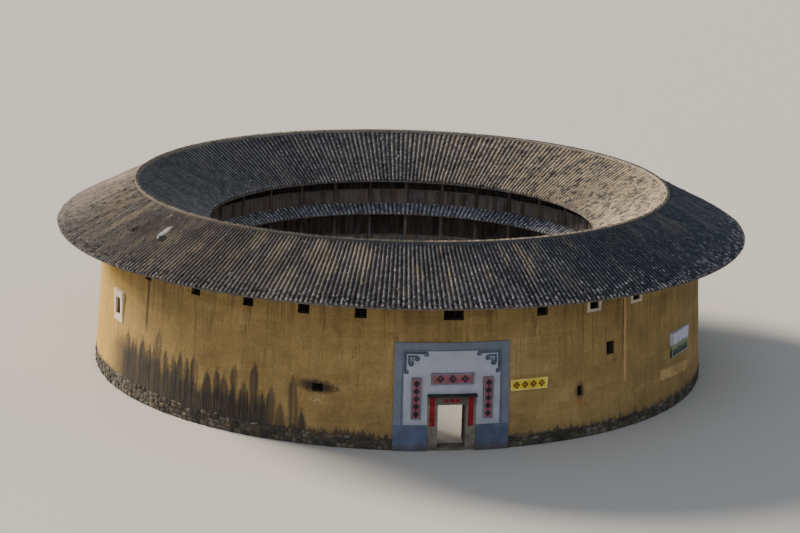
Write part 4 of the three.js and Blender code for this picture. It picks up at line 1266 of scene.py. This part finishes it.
def tile_finish(name, courses, kind):
    """Clay tiles: pale covers, dark channels, tile tones, rows washed with earth, lichen, moss, painted light
    and shade.
    """
    tiles = settings("house_tiles")
    warmth = {"outer": 1.0, "inner": 0.55, "skirt": 0.15}[kind]
    f = Finish(name, 0.88)
    u, v = f.uv
    x, y, _ = f.xyz
    half_row, course = (u * 2.0 + 0.5).floor(), v.floor()
    cover = 1.0 - (u.fract() - 0.5).size().smooth(0.20, 0.26)
    tile = f.random(half_row, course, 3.5)
    second = f.random(course, half_row, 8.5)
    row = f.random(half_row, 0.5, 1.5)
    patch, blotch, fine = f.noise(0.33, 4.0, 0.6), f.noise(1.5, 5.0, 0.65), f.noise(9.0, 5.0, 0.65)
    body = tile * 0.62 + patch.swing(0.9) + blotch.swing(0.9) + fine.swing(0.5) + row * 0.16 + 0.12
    f.base(body.smooth(0.0, 1.0), tiles.tile_dark, tiles.tile_slate if kind == "outer" else tiles.tile_pale)
    run = f.drawn(half_row * 0.13, v * 0.055, 2.0, 3.0, 0.6) + x.smooth(-9.0, 0.0, 0.035, 0.0)
    washed = run.smooth(0.52, 0.63) * 0.8 + row.smooth(0.86, 0.98) * 0.25
    washed = washed * second.smooth(0.0, 0.5, 0.45, 1.0)
    if kind == "outer":
        washed = washed * v.smooth(courses * 0.25, courses, 1.0, 0.35) * 1.5
    # Painted warm light towards the left (-X) side, scaled by warmth, with some random warm patches
    f.coat(((-x).smooth(-4.0, 15.0) * 0.48 + patch.smooth(0.45, 0.65) * 0.15) * warmth, (0.180, 0.144, 0.120))
    f.coat((washed * warmth * 0.55).least(0.8), tiles.tile_tan)
    lichen = f.noise(4.0, 6.0, 0.72).smooth(0.58, 0.70) * second.smooth(0.35, 0.9)
    f.coat(lichen * 0.50, (0.30, 0.28, 0.25))
    f.coat(tile.smooth(0.984, 0.994) * cover * 0.7, (0.36, 0.34, 0.31))
    if kind == "outer":
        shaded_right = x.smooth(1.0, 11.0) * (1.0 - y.smooth(4.0, 14.0))
        still = f.noise(0.24, 3.0, at=(x, y, 40.0)).smooth(0.44, 0.60)
        f.glaze(still * 0.55, (0.42, 0.43, 0.48))
        # Painted shade: the right front of the outer slope is coated dark blue; the same mask scatters pale
        # tiles there
        f.coat(shaded_right * 0.68, (0.034, 0.046, 0.069))
        # Painted shade at the left end of the outer slope
        f.glaze(x.smooth(-16.0, -5.0, 0.38, 0.0), (0.46, 0.41, 0.36))
        edge = v.smooth(courses - 6.5, courses - 2.5) * fine.smooth(0.34, 0.52)
        f.coat(edge * tile.smooth(0.28, 0.40, 0.75, 0.0), (0.030, 0.033, 0.041))
        f.coat(edge * tile.smooth(0.66, 0.76) * x.smooth(-15.0, -4.0, 0.20, 0.62), (0.290, 0.290, 0.310))
        low = v.smooth(courses * 0.35, courses * 0.95, 0.03, 1.0)
        f.coat(second.smooth(0.86, 0.90) * shaded_right * low * blotch.smooth(0.44, 0.56) * 0.75, (0.34, 0.35, 0.36))
    if kind == "inner":
        # Painted shade on the courtyard slope's left half; sunny marks painted sunlight on its right half,
        # with dark gaps
        f.coat((-x).smooth(1.0, 12.0) * 0.50, (0.078, 0.094, 0.120))
        sunny = x.smooth(1.0, 10.0) * patch.smooth(0.30, 0.55, 0.55, 1.0)
        litter = f.noise(1.9, 6.0, 0.80)
        drift = (-x).smooth(4.0, 9.0) * v.smooth(courses * 0.45, courses * 0.80) * litter.smooth(0.53, 0.60)
        f.coat(drift * 0.70, (0.235, 0.265, 0.310))
        f.coat(sunny * litter.smooth(0.42, 0.56) * 0.70, (0.52, 0.395, 0.245))
        f.coat(sunny * litter.fall(0.41, 0.49) * 0.88, (0.055, 0.048, 0.042))
    f.coat(f.noise(0.8, 4.0).smooth(0.58, 0.74) * 0.35, (0.028, 0.032, 0.026))
    # The channels and each course's lap are darkened: dirt and painted shade
    channel = (1.0 - cover) * 0.96 + v.fract().smooth(0.88, 0.99) * 0.35
    f.glaze(channel.least(0.9), (0.15, 0.155, 0.18))
    if kind == "skirt":
        f.glaze(1.0, (1.7, 1.785, 1.955))
    end = v.smooth(courses - 0.62, courses - 0.30) * cover * row.smooth(0.45, 0.75)
    f.coat(end * 0.45, (0.36, 0.335, 0.30))
    if kind == "outer":
        hurt_coats(f, fine)
    height = fine * 0.5 + f.noise(38.0, 3.0) * 0.3 + tile * 0.2
    return f.done(height, 0.012, fine.smooth(0.3, 0.7, 0.80, 0.95))


def hurt_coats(f, fine):
    """Pale underlay where tiles have slid away, and painted shade in the dark gaps beside it."""
    x, y, _ = f.xyz
    r = (x * x + y * y) ** 0.5
    angle = x.bearing(-y) * (180.0 / math.pi)
    for spot_angle, spot_r, reach_angle, reach_r, shade in HURT_COLOURS:
        across, up = (angle - spot_angle) / reach_angle, (r - spot_r) / reach_r
        inside = (across * across + up * up + fine.swing(0.9)).fall(0.75, 1.15)
        f.coat(inside * 0.92, (shade, shade * 0.98, shade * 0.95))


def ridge_mortar_finish():
    """Lime and earth mortar with grit, dark weathering and painted shade on its outer side."""
    f = Finish("ridge_mortar", 0.92)
    x, y, _ = f.xyz
    fine = f.noise(11.0, 6.0, 0.7)
    f.base(fine.smooth(0.35, 0.65), (0.15, 0.135, 0.115), (0.33, 0.30, 0.25))
    f.coat(f.noise(0.9, 4.0).smooth(0.50, 0.70) * 0.7, (0.085, 0.080, 0.072))
    # Painted shade on the ridge's outer side: blue-grey, browner at the left end
    outward = ((x * x + y * y) ** 0.5 - RIDGE_R + fine.swing(0.03)).smooth(0.055, 0.085)
    f.coat(outward * 0.85, f.mix(x.smooth(-12.0, -4.0), (0.085, 0.070, 0.055), (0.038, 0.042, 0.052)))
    return f.done(fine, 0.02)


def ridge_tile_finish():
    """Tiles on edge, some pale with lichen and some dark."""
    f = Finish("ridge_tile_edges", 0.9)
    fine = f.noise(16.0, 5.0, 0.7)
    f.base(f.tone.smooth(0.1, 0.8), (0.10, 0.090, 0.080), (0.36, 0.325, 0.27))
    f.coat(fine.smooth(0.5, 0.7) * 0.6, (0.07, 0.065, 0.06))
    return f.done(fine, 0.008)


def spot_mask(s, z, at, middle, reach_s, reach_z, edge):
    """1 inside an upright oval on the wall, with a soft rim."""
    across, up = (s - at) / reach_s, (z - middle) / reach_z
    return 1.0 - (across * across + up * up).smooth(1.0 - edge, 1.0 + edge)


def band(field, near, far):
    """1 where a field lies within near of zero, 0 beyond far."""
    return field.size().fall(near, far)


def dark_tongues(f, s, z, fine):
    """1 inside the dark tongues that climb from the foot on the left: each upright, with a pointed top."""
    wander = f.drawn(s * 0.9, 3.0, z * 0.5, 3.0, 0.6).swing(0.34)
    inside = None
    for angle, top, half in TONGUES:
        across = (s - math.radians(angle) * WALL_MEAN_R + wander).size() / half
        height = z + across * 0.62 + fine.swing(0.5)
        tongue = across.fall(0.55, 1.30) * height.fall(top, top + 0.50)
        inside = tongue if inside is None else inside.most(tongue)
    return inside


def earth_finish():
    """Rammed earth: ochre clouds, faint lifts, eave streaks, damp and dark foot marks, mends, cracks, painted
    light and shade.
    """
    wall = settings("house_wall")
    f = Finish("rammed_earth_wall", 0.95)
    x, y, z = f.xyz
    angle = x.bearing(-y)
    s, degrees = angle * WALL_MEAN_R, angle * (180.0 / math.pi)
    wide, broad = f.noise(0.16, 3.0), f.noise(0.75, 5.0, 0.6)
    fine, grit = f.noise(6.5, 6.0, 0.68), f.noise(34.0, 4.0, 0.7)
    streak = f.drawn(x * 2.3, y * 2.3, z * 0.13, 5.0, 0.6)
    hairs = f.drawn(x * 9.0, y * 9.0, z * 0.30, 4.0, 0.65)
    level = (z - 0.1) / LIFT + broad.swing(0.30)
    lift = level.floor()
    block = (angle * (67 / (2 * math.pi)) + f.random(lift, 4.5, 0.5)).floor()
    block_tone = f.random(lift, block, 2.5)
    seam = (1.0 - (level.fract() - 0.5).size().fall(0.45, 0.485)) * fine.smooth(0.46, 0.60)

    # Clouds, seams, what runs down from the eave, painted sunlight at the left and painted shade under the
    # eave
    tone = broad.swing(1.5) + wide.swing(1.3) + fine.swing(1.2) + block_tone.swing(0.20) + 0.5
    f.base(tone.smooth(-0.1, 0.9), wall.earth_dark, wall.earth)
    f.coat(tone.smooth(0.62, 1.25) * 0.70, wall.earth_pale)
    # Painted sunlight: the left part of the wall is coated bright yellow
    f.coat(degrees.smooth(-86.0, -56.0, 0.62, 0.0), (0.56, 0.34, 0.060))
    f.coat(hairs.fall(0.36, 0.50) * 0.10, wall.earth_pale)
    f.coat(seam * 0.50, wall.earth_dark)
    eave = z.smooth(4.6, 8.2)
    run = streak.smooth(0.48, 0.66) * (eave * 0.60 + 0.14) + hairs.smooth(0.58, 0.72) * (eave * 0.2 + 0.12)
    f.coat(run.least(0.75), [part * 0.62 for part in wall.earth_dark])
    lines = band(f.drawn(s * 2.1, 11.0, z * 0.05, 2.0, 0.7) - 0.5, 0.004, 0.022)
    f.coat(lines * broad.smooth(0.44, 0.58) * z.smooth(1.5, 5.0) * 0.45, (0.075, 0.045, 0.020))
    # Painted shade under the eave, with a streaky lower edge
    f.coat((z + streak.swing(1.6)).smooth(6.7, 7.9) * 0.45, (0.11, 0.070, 0.034))
    joint = band(s - math.radians(-60.7) * WALL_MEAN_R + fine.swing(0.10), 0.05, 0.17)
    f.coat(joint * z.smooth(3.4, 4.6) * 0.80, (0.070, 0.050, 0.030))

    # At the foot: a low damp band all round, a tall dark mass with tongues at the left and a ragged dark
    # fringe
    damp = (z - (streak.swing(1.1) + broad.swing(0.6) + 0.78)).fall(-0.35, 0.35)
    f.coat(damp * 0.45, (0.105, 0.078, 0.048))
    left = degrees.smooth(-78.0, -66.0) * degrees.fall(-35.0, -28.0)
    teeth = f.drawn(s * 4.5, 7.0, z * 0.12, 3.0, 0.65)
    under = f.drawn(s * 1.1, 3.0, 0.0, 3.0, 0.75).smooth(0.30, 0.70) * 0.9
    under = under + f.drawn(s * 2.7, 17.0, 0.0, 2.0, 0.6).smooth(0.46, 0.70) * 0.9
    under = under + degrees.smooth(-66.0, -38.0, 2.35, 1.55)
    ground = left * (z - under + fine.swing(0.9)).fall(-0.60, 0.20) * teeth.smooth(0.36, 0.50, 0.88, 1.0)
    strength = f.drawn(s * 1.3, 23.0, 0.0, 2.0, 0.6).smooth(0.38, 0.60, 0.60, 1.0)
    tongues = dark_tongues(f, s, z, fine) * strength * teeth.smooth(0.36, 0.48, 0.45, 1.0)
    f.coat(ground * 0.93, (0.038, 0.033, 0.028))
    f.coat(tongues * 0.92, (0.023, 0.022, 0.024))
    f.coat(band(teeth - 0.5, 0.008, 0.030) * ground.most(tongues) * 0.35, (0.16, 0.12, 0.075))
    reach = f.drawn(s * 2.6, 9.0, 0.0, 3.0, 0.7).smooth(0.35, 0.70) * 0.42 + 0.50
    reach = reach + degrees.fall(-14.0, -12.0) * 0.18
    fringe = (z - reach + fine.swing(0.25)).fall(-0.12, 0.08) * fine.smooth(0.36, 0.48)
    f.coat(fringe * 0.85, (0.038, 0.036, 0.036))

    # Soot and a pale patch at the vent, marks at the loophole, a mended patch and strip, cracks
    angles = (VENT[0], LOOPHOLE[0], 34.4, -85.0)
    vent_s, hole_s, mend_s, vee_s = (math.radians(at) * WALL_MEAN_R for at in angles)
    soot = spot_mask(s + fine.swing(1.2) + (z - 2.95) * 0.6, z + broad.swing(0.4) + fine.swing(0.25),
                     vent_s, 2.97, 0.90, 0.32, 0.9)
    pale = spot_mask(s + fine.swing(0.4), z, vent_s, 2.36, 0.40, 0.30, 0.6)
    f.coat(pale * fine.smooth(0.40, 0.58) * 0.40, (0.50, 0.40, 0.24))
    f.coat(soot * 0.92, (0.020, 0.018, 0.016))
    f.coat(spot_mask(s, z, hole_s, 2.46, 0.30, 0.46, 0.7) * 0.60, (0.05, 0.040, 0.030))
    f.coat(spot_mask(s, z, hole_s - 0.03, 1.88, 0.16, 0.24, 0.7) * 0.6, (0.36, 0.110, 0.040))
    slant = z + (degrees - 51.8) * 0.020
    patch = band(degrees - 51.8 + fine.swing(0.8), 5.9, 6.5)
    patch = patch * band(slant - 1.92 + fine.swing(0.22) + broad.swing(0.3), 0.22, 0.32)
    f.coat(patch * broad.smooth(0.36, 0.52, 0.55, 1.0) * 0.75, (0.60, 0.40, 0.175))
    from_mend = s - mend_s + f.drawn(2.0, 5.0, z * 0.9, 4.0, 0.6).swing(0.22)
    f.coat(band(from_mend - 0.06, 0.07, 0.12) * z.smooth(2.30, 2.65) * 0.62, (0.60, 0.375, 0.175))
    crack = band(from_mend + 0.07, 0.015, 0.045) * z.smooth(2.9, 4.2)
    from_vee = s - vee_s
    vee = from_vee.size() * 1.9 + z - 3.1 + fine.swing(0.16)
    cracks = crack.most(band(vee, 0.02, 0.07) * z.smooth(0.9, 1.2) * band(from_vee, 0.95, 1.05))
    net = f.node("ShaderNodeTexVoronoi", {"feature": "DISTANCE_TO_EDGE"},
                 {"Vector": f.vector(x, y, z * 0.45 + broad.swing(2.0)), "Scale": 0.7}, "Distance")
    hairline = net.fall(0.003, 0.010) * broad.smooth(0.54, 0.62)
    f.coat(cracks.most(hairline * 0.45) * 0.8, (0.045, 0.028, 0.014))

    # Painted shade: inside the openings, and on the wall's inner face, the earth is dark
    depth = WALL_FOOT_R - z * WALL_BATTER - (x * x + y * y) ** 0.5
    f.coat(depth.smooth(0.030, 0.100) * 0.95, (0.016, 0.012, 0.009))
    height = broad * 0.5 + fine * 0.42 + grit * 0.14 + block_tone * 0.06
    height = height - seam * 0.22 - cracks * 0.6 - hairline * 0.2 + hairs * 0.08
    return f.done(height, 0.045, fine.smooth(0.3, 0.7, 0.88, 0.98))


def foot_mortar_finish():
    """Dark earth between the stones."""
    f = Finish("foot_mortar", 0.97)
    fine = f.noise(12.0, 6.0, 0.7)
    f.base(fine.smooth(0.3, 0.7), (0.035, 0.030, 0.024), (0.12, 0.095, 0.062))
    return f.done(fine, 0.03)


def rubble_finish():
    """River stones: a tone for each stone, mottling, moss low down and pale rubbed crowns."""
    f = Finish("rubble", 0.92)
    fine, broad = f.noise(14.0, 6.0, 0.7), f.noise(1.1, 4.0)
    f.base(f.tone.smooth(0.0, 1.0), (0.045, 0.043, 0.040), (0.150, 0.140, 0.122))
    f.coat((f.tone * 7.3).fract().smooth(0.6, 0.9) * 0.6, (0.17, 0.125, 0.080))
    f.coat(fine.smooth(0.52, 0.68) * 0.45, (0.22, 0.21, 0.185))
    f.coat(broad.smooth(0.45, 0.62) * 0.65, (0.030, 0.029, 0.027))
    f.coat(broad.fall(0.30, 0.42) * f.xyz[2].smooth(0.1, 0.5, 1.0, 0.2) * 0.5, (0.045, 0.060, 0.030))
    return f.done(fine, 0.02)


def limewash(name, base, deep_share, worn_share):
    """Limewash on plaster: brushed clouds, dribbles and worn spots."""
    f = Finish(name, 0.9)
    x, y, z = f.xyz
    cloud, fine = f.noise(1.4, 5.0, 0.6), f.noise(13.0, 5.0, 0.65)
    dribble = f.drawn(x * 5.0, y * 5.0, z * 0.5, 4.0, 0.6)
    f.base((cloud.swing(1.6) + fine.swing(0.6) + 0.5).smooth(0.15, 0.85), dimmed(base, deep_share), base)
    f.coat(dribble.smooth(0.56, 0.70) * 0.35, dimmed(base, worn_share))
    return f, cloud, fine


def dimmed(colour, share):
    """A colour times a share, no part above one."""
    return [min(part * share, 1.0) for part in colour]


def border_finish():
    """Blue-grey limewash, with a darker dado up to the field's foot and splashes of earth at the ground."""
    gate = settings("house_gate")
    f, cloud, fine = limewash("border_limewash", gate.blue, 0.80, 0.62)
    x, _, z = f.xyz
    dado = (z + fine.swing(0.03)).fall(FIELD_BOTTOM - 0.02, FIELD_BOTTOM + 0.015)
    f.coat(dado, f.mix(cloud.smooth(0.35, 0.65), dimmed(gate.deep_blue, 0.78), dimmed(gate.deep_blue, 1.15)))
    seam_u, seam_z = (x * (1 / 0.40)).fract(), (z * (1 / 0.22)).fract()
    joint = (seam_u - 0.5).size().smooth(0.475, 0.492).most((seam_z - 0.5).size().smooth(0.46, 0.485))
    f.coat(joint * dado * 0.25, (0.16, 0.18, 0.23))
    f.coat((z + cloud.swing(0.7) + fine.swing(0.3)).fall(0.05, 0.55) * 0.65, (0.085, 0.066, 0.045))
    f.coat(fine.smooth(0.68, 0.74) * 0.5, (0.30, 0.24, 0.16))
    return f.done(fine * 0.6 + cloud * 0.4 - joint * dado * 0.2, 0.008)


def field_finish():
    """Pale blue-white limewash with rain marks under the eave and a dusty foot."""
    f, cloud, fine = limewash("field_limewash", settings("house_gate").pale, 0.84, 0.66)
    f.coat((f.xyz[2] + cloud.swing(0.8)).fall(1.3, 2.0) * 0.30, (0.20, 0.19, 0.20))
    f.coat(fine.smooth(0.69, 0.75) * 0.5, (0.26, 0.21, 0.15))
    return f.done(fine * 0.6 + cloud * 0.4, 0.007)


def worn_finish(name, base, roughness, wear, spread, scale=7.0, bump=0.004, metallic=0.0):
    """A coat of one colour with clouds, scuffs and dirt over what shows through where it is worn."""
    f = Finish(name, roughness)
    f.feed(f.shader.inputs["Metallic"], metallic)
    cloud, fine = f.noise(scale * 0.25, 4.0), f.noise(scale * 2.2, 6.0, 0.7)
    f.base((cloud * 0.6 + fine * 0.4).smooth(0.35, 0.65), dimmed(base, 0.70), dimmed(base, 1.15))
    f.coat((fine * 0.7 + cloud * 0.3).smooth(0.58, 0.68) * spread, wear)
    return f.done(fine, bump, fine.smooth(0.3, 0.7, roughness * 0.85, min(roughness * 1.1, 1.0)))


def ink_finish(name, base):
    """Mineral paint, rubbed thin in places."""
    return worn_finish(name, base, 0.85, (0.22, 0.24, 0.28), 0.45)


def paint_finish(name, base):
    """Enamel on a board, chalky with age."""
    return worn_finish(name, base, 0.55, (0.30, 0.26, 0.18), 0.25)


def paper_finish(name, base):
    """Red paper, creased and faded."""
    return worn_finish(name, base, 0.8, (0.50, 0.13, 0.10), 0.4, 12.0)


def iron_finish(name):
    """Forged iron, brown with rust."""
    return worn_finish(name, (0.055, 0.045, 0.040), 0.6, (0.16, 0.060, 0.025), 0.6, 30.0, 0.002, 0.6)


def stone_finish(name):
    """Dressed granite: speckle, worn edges and grime."""
    f = Finish(name, 0.85)
    grain, cloud = f.noise(60.0, 4.0, 0.8), f.noise(1.6, 5.0)
    f.base(grain.smooth(0.38, 0.62), (0.095, 0.085, 0.072), (0.300, 0.270, 0.225))
    f.coat(cloud.smooth(0.45, 0.66) * 0.6, (0.075, 0.064, 0.050))
    f.coat(f.xyz[2].fall(0.0, 0.5) * 0.35, (0.07, 0.055, 0.04))
    return f.done(grain * 0.4 + cloud * 0.6, 0.008)


def timber_finish(name, dim=1.0):
    """Smoke-dark fir: grain along each piece, a tone for each piece and worn, greyed patches."""
    wood = settings("house_timber")
    f = Finish(name, 0.82)
    u, v = f.uv
    grain = f.drawn(u * 26.0, v * 1.3, f.tone * 9.0, 5.0, 0.65, 0.4)
    wear = f.drawn(u * 5.0, v * 0.9, f.tone * 23.0, 5.0)
    f.base((grain * 0.55 + f.tone * 0.45).smooth(0.15, 0.85), wood.dark, wood.warm)
    f.coat(wear.smooth(0.42, 0.64) * 0.62, wood.grey)
    f.glaze(grain.fall(0.30, 0.44) * 0.7, (0.35, 0.33, 0.32))
    # Painted shade: a dim below one makes a darker copy for timber that stands in shade
    if dim != 1.0:
        f.glaze(1.0, (dim, dim * 0.9, dim * 0.8))
    return f.done(grain, 0.006)


def floor_finish(name):
    """Floor boards laid round the ring, and their joists."""
    wood = settings("house_timber")
    f = Finish(name, 0.8)
    x, y, _ = f.xyz
    r = (x * x + y * y) ** 0.5
    angle = x.bearing(-y)
    boards = r * (1 / 0.19)
    board = boards.floor()
    gap = (boards.fract() - 0.5).size().smooth(0.465, 0.49)
    grain = f.drawn(r * 30.0, angle * 14.0, board, 5.0, 0.65)
    tone = f.random(board, (angle * 5.0 + board * 0.37).floor(), 0.5)
    f.base((grain * 0.5 + tone * 0.5).smooth(0.15, 0.85), wood.dark, wood.grey)
    f.glaze(gap * 0.8, (0.12, 0.10, 0.10))
    return f.done(grain - gap * 0.8, 0.006)


def frame_timber_finish():
    """Carried-over timbers: fibre drawn out along the ground plan and up the posts, with soot and wear."""
    wood = settings("house_timber")
    f = Finish("frame_timber", 0.84)
    x, y, z = f.xyz
    fibre = f.drawn(x * 2.5, y * 2.5, z * 22.0, 5.0, 0.65, 0.5)
    f.base(fibre.smooth(0.25, 0.75), wood.dark, wood.warm)
    f.coat(f.noise(1.9, 5.0).smooth(0.50, 0.68) * 0.6, wood.grey)
    return f.done(fibre, 0.008)


def head_board_finish():
    """The lighter board over the gate, with grain along it and hand-rubbed grime."""
    f = Finish("head_board", 0.75)
    x, y, z = f.xyz
    grain = f.drawn(x * 1.6, y * 20.0, z * 24.0, 6.0, 0.65, 0.6)
    f.base(grain.smooth(0.25, 0.75), (0.075, 0.064, 0.052), (0.190, 0.168, 0.138))
    f.coat(f.noise(2.4, 5.0).smooth(0.52, 0.68) * 0.5, (0.055, 0.042, 0.032))
    return f.done(grain, 0.006)


def picture_finish():
    """A faded board in plain bands: pale above, green below, with a soft hazy edge between them."""
    f = Finish("picture_bands", 0.5)
    cloud, fine = f.noise(1.6, 5.0, 0.6), f.noise(20.0, 5.0, 0.7)
    edge = f.xyz[2] + cloud.swing(0.55)
    f.base(edge.smooth(3.30, 3.58), (0.040, 0.085, 0.050), (0.56, 0.54, 0.70))
    f.coat(band(edge - 3.28, 0.05, 0.16) * 0.7, (0.26, 0.33, 0.14))
    f.coat(edge.fall(2.85, 3.05) * 0.8, (0.018, 0.030, 0.028))
    f.coat(cloud.smooth(0.56, 0.66) * edge.smooth(3.5, 3.7) * 0.4, (0.34, 0.38, 0.50))
    f.coat(fine.smooth(0.60, 0.72) * 0.25, (0.30, 0.27, 0.22))
    return f.done(fine, 0.002)


class EARTHHOUSE_OT_frame_finishes(bpy.types.Operator):
    """Gives the pieces that are kept from the frame their finishes"""
    bl_idname = "earthhouse.frame_finishes"
    bl_label = "Kept pieces"

    def execute(self, context):
        gate = settings("house_gate")
        shelf = worn_finish("shelf_board", (0.032, 0.029, 0.028), 0.8, (0.085, 0.075, 0.062), 0.5)
        lime = worn_finish("white_lime_band", (0.66, 0.59, 0.46), 0.9, (0.36, 0.25, 0.12), 0.55, 6.0, 0.008)
        surrounds = ("left_upper", "left_lower", "right_first", "right_second")
        for material, names in (
                (stone_finish("gate_granite"), ["gate_jamb_left", "gate_jamb_right", "gate_threshold"]),
                (frame_timber_finish(), ["roof_frame", "ridge_frame", "gate_pivot_beam"]),
                (ink_finish("faded_red", gate.red), ["gate_plaque", "gate_panel_left", "gate_panel_right"]),
                (shelf, ["gate_shelf"]),
                (head_board_finish(), ["gate_head"]),
                (paint_finish("sign_yellow", gate.yellow), ["sign_board"]),
                (picture_finish(), ["picture_board"]),
                (lime, [f"window_surround_{part}" for part in surrounds])):
            for name in names:
                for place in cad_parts[name].material_slots:
                    place.material = material
        return {"FINISHED"}


class HouseStage(bpy.types.PropertyGroup):
    lens: number("Lens", "Focal length of the camera, in millimetres on a 36 mm frame", 101.0, 10.0)
    roll: number("Roll", "How far the camera leans, the right side up", radians(1.7), -math.pi, "ROTATION")
    key: number("Key light", "Strength of the low light from the left", 8.5)
    fill: number("Fill light", "Strength of the broad light from the front", 0.62)
    sky: number("Sky", "Strength of the pale light from all round", 0.42)
    floor: tint("Floor", "Colour of the floor", (0.50, 0.49, 0.475))


class EARTHHOUSE_OT_stage(bpy.types.Operator):
    """Lays the floor and places the lights and the camera"""
    bl_idname = "earthhouse.stage"
    bl_label = "Floor, lights and camera"

    def lamp(self, name, azimuth, elevation, spread, energy, colour):
        """A soft far light from an angle round the house and a height above the horizon, in degrees."""
        data = bpy.data.lights.new(name, "SUN")
        data.energy, data.color, data.angle = energy, colour, math.radians(spread)
        lamp = bpy.data.objects.new(name, data)
        level = math.cos(math.radians(elevation))
        source = Vector((*polar(azimuth, level, 0.0)[:2], math.sin(math.radians(elevation))))
        lamp.rotation_euler = source.to_track_quat("Z", "Y").to_euler()
        bpy.context.scene.collection.objects.link(lamp)

    def execute(self, context):
        stage = settings("house_stage")
        floor = Surface()
        floor.add(polar(round_ring(96), 420.0, -0.02), np.arange(96)[None], np.zeros((96, 2)))
        ground = Finish("floor", 0.95)
        ground.colour = stage.floor
        disc = floor.piece("floor", None, [ground.done()], body=None)

        self.lamp("key", -134.0, 28.0, 18.0, stage.key, (1.0, 0.86, 0.68))
        self.lamp("fill", -20.0, 38.0, 70.0, stage.fill, (0.93, 0.96, 1.0))
        world = bpy.data.worlds.new("studio")
        world.use_nodes = True
        sky = world.node_tree.nodes["Background"]
        sky.inputs["Color"].default_value = (0.80, 0.87, 0.96, 1.0)
        sky.inputs["Strength"].default_value = stage.sky
        context.scene.world = world

        data = bpy.data.cameras.new("camera")
        data.lens, data.sensor_width = stage.lens, 36.0
        data.clip_start, data.clip_end = 1.0, 2000.0
        camera = bpy.data.objects.new("camera", data)
        low, high = CAD_BOX
        camera.location = Vector((-20.0, -120.1, 35.85))
        aim = (low + high) / 2 - camera.location
        camera.rotation_mode = "QUATERNION"
        camera.rotation_quaternion = aim.to_track_quat("-Z", "Y") @ Quaternion((0, 0, 1), stage.roll)
        context.scene.collection.objects.link(camera)
        context.scene.camera = camera
        return {"FINISHED"}


STEPS = (
    EARTHHOUSE_OT_frame_finishes, EARTHHOUSE_OT_roof_tiles, EARTHHOUSE_OT_skirt_tiles, EARTHHOUSE_OT_ridge,
    EARTHHOUSE_OT_eaves, EARTHHOUSE_OT_earth_wall, EARTHHOUSE_OT_rubble_foot, EARTHHOUSE_OT_windows,
    EARTHHOUSE_OT_gate_plaster, EARTHHOUSE_OT_gate_boards, EARTHHOUSE_OT_gate_leaves, EARTHHOUSE_OT_galleries,
    EARTHHOUSE_OT_room_fronts, EARTHHOUSE_OT_stage,
)
GROUPS = {
    "house_tiles": HouseTiles, "house_wall": HouseWall, "house_gate": HouseGate, "house_timber": HouseTimber,
    "house_stage": HouseStage,
}


class EARTHHOUSE_PT_sidebar(bpy.types.Panel):
    """Lists the pieces of the house"""
    bl_idname = "EARTHHOUSE_PT_sidebar"
    bl_label = "Earth House"
    bl_space_type = "VIEW_3D"
    bl_region_type = "UI"
    bl_category = "Earth House"

    def draw(self, context):
        for step in STEPS:
            self.layout.operator(step.bl_idname)
        for group, kind in GROUPS.items():
            box = self.layout.box()
            for name in kind.__annotations__:
                box.prop(settings(group), name)


def register():
    for kind in (*GROUPS.values(), *STEPS, EARTHHOUSE_PT_sidebar):
        bpy.utils.register_class(kind)
    for group, kind in GROUPS.items():
        setattr(bpy.types.Scene, group, bpy.props.PointerProperty(type=kind))


def unregister():
    for group in GROUPS:
        delattr(bpy.types.Scene, group)
    for kind in reversed((*GROUPS.values(), *STEPS, EARTHHOUSE_PT_sidebar)):
        bpy.utils.unregister_class(kind)


def main():
    register()
    for step in STEPS:
        group, name = step.bl_idname.split(".")
        if getattr(getattr(bpy.ops, group), name)() != {"FINISHED"}:
            raise RuntimeError(f"{step.bl_idname} did not finish")


if __name__ == "__main__":
    main()
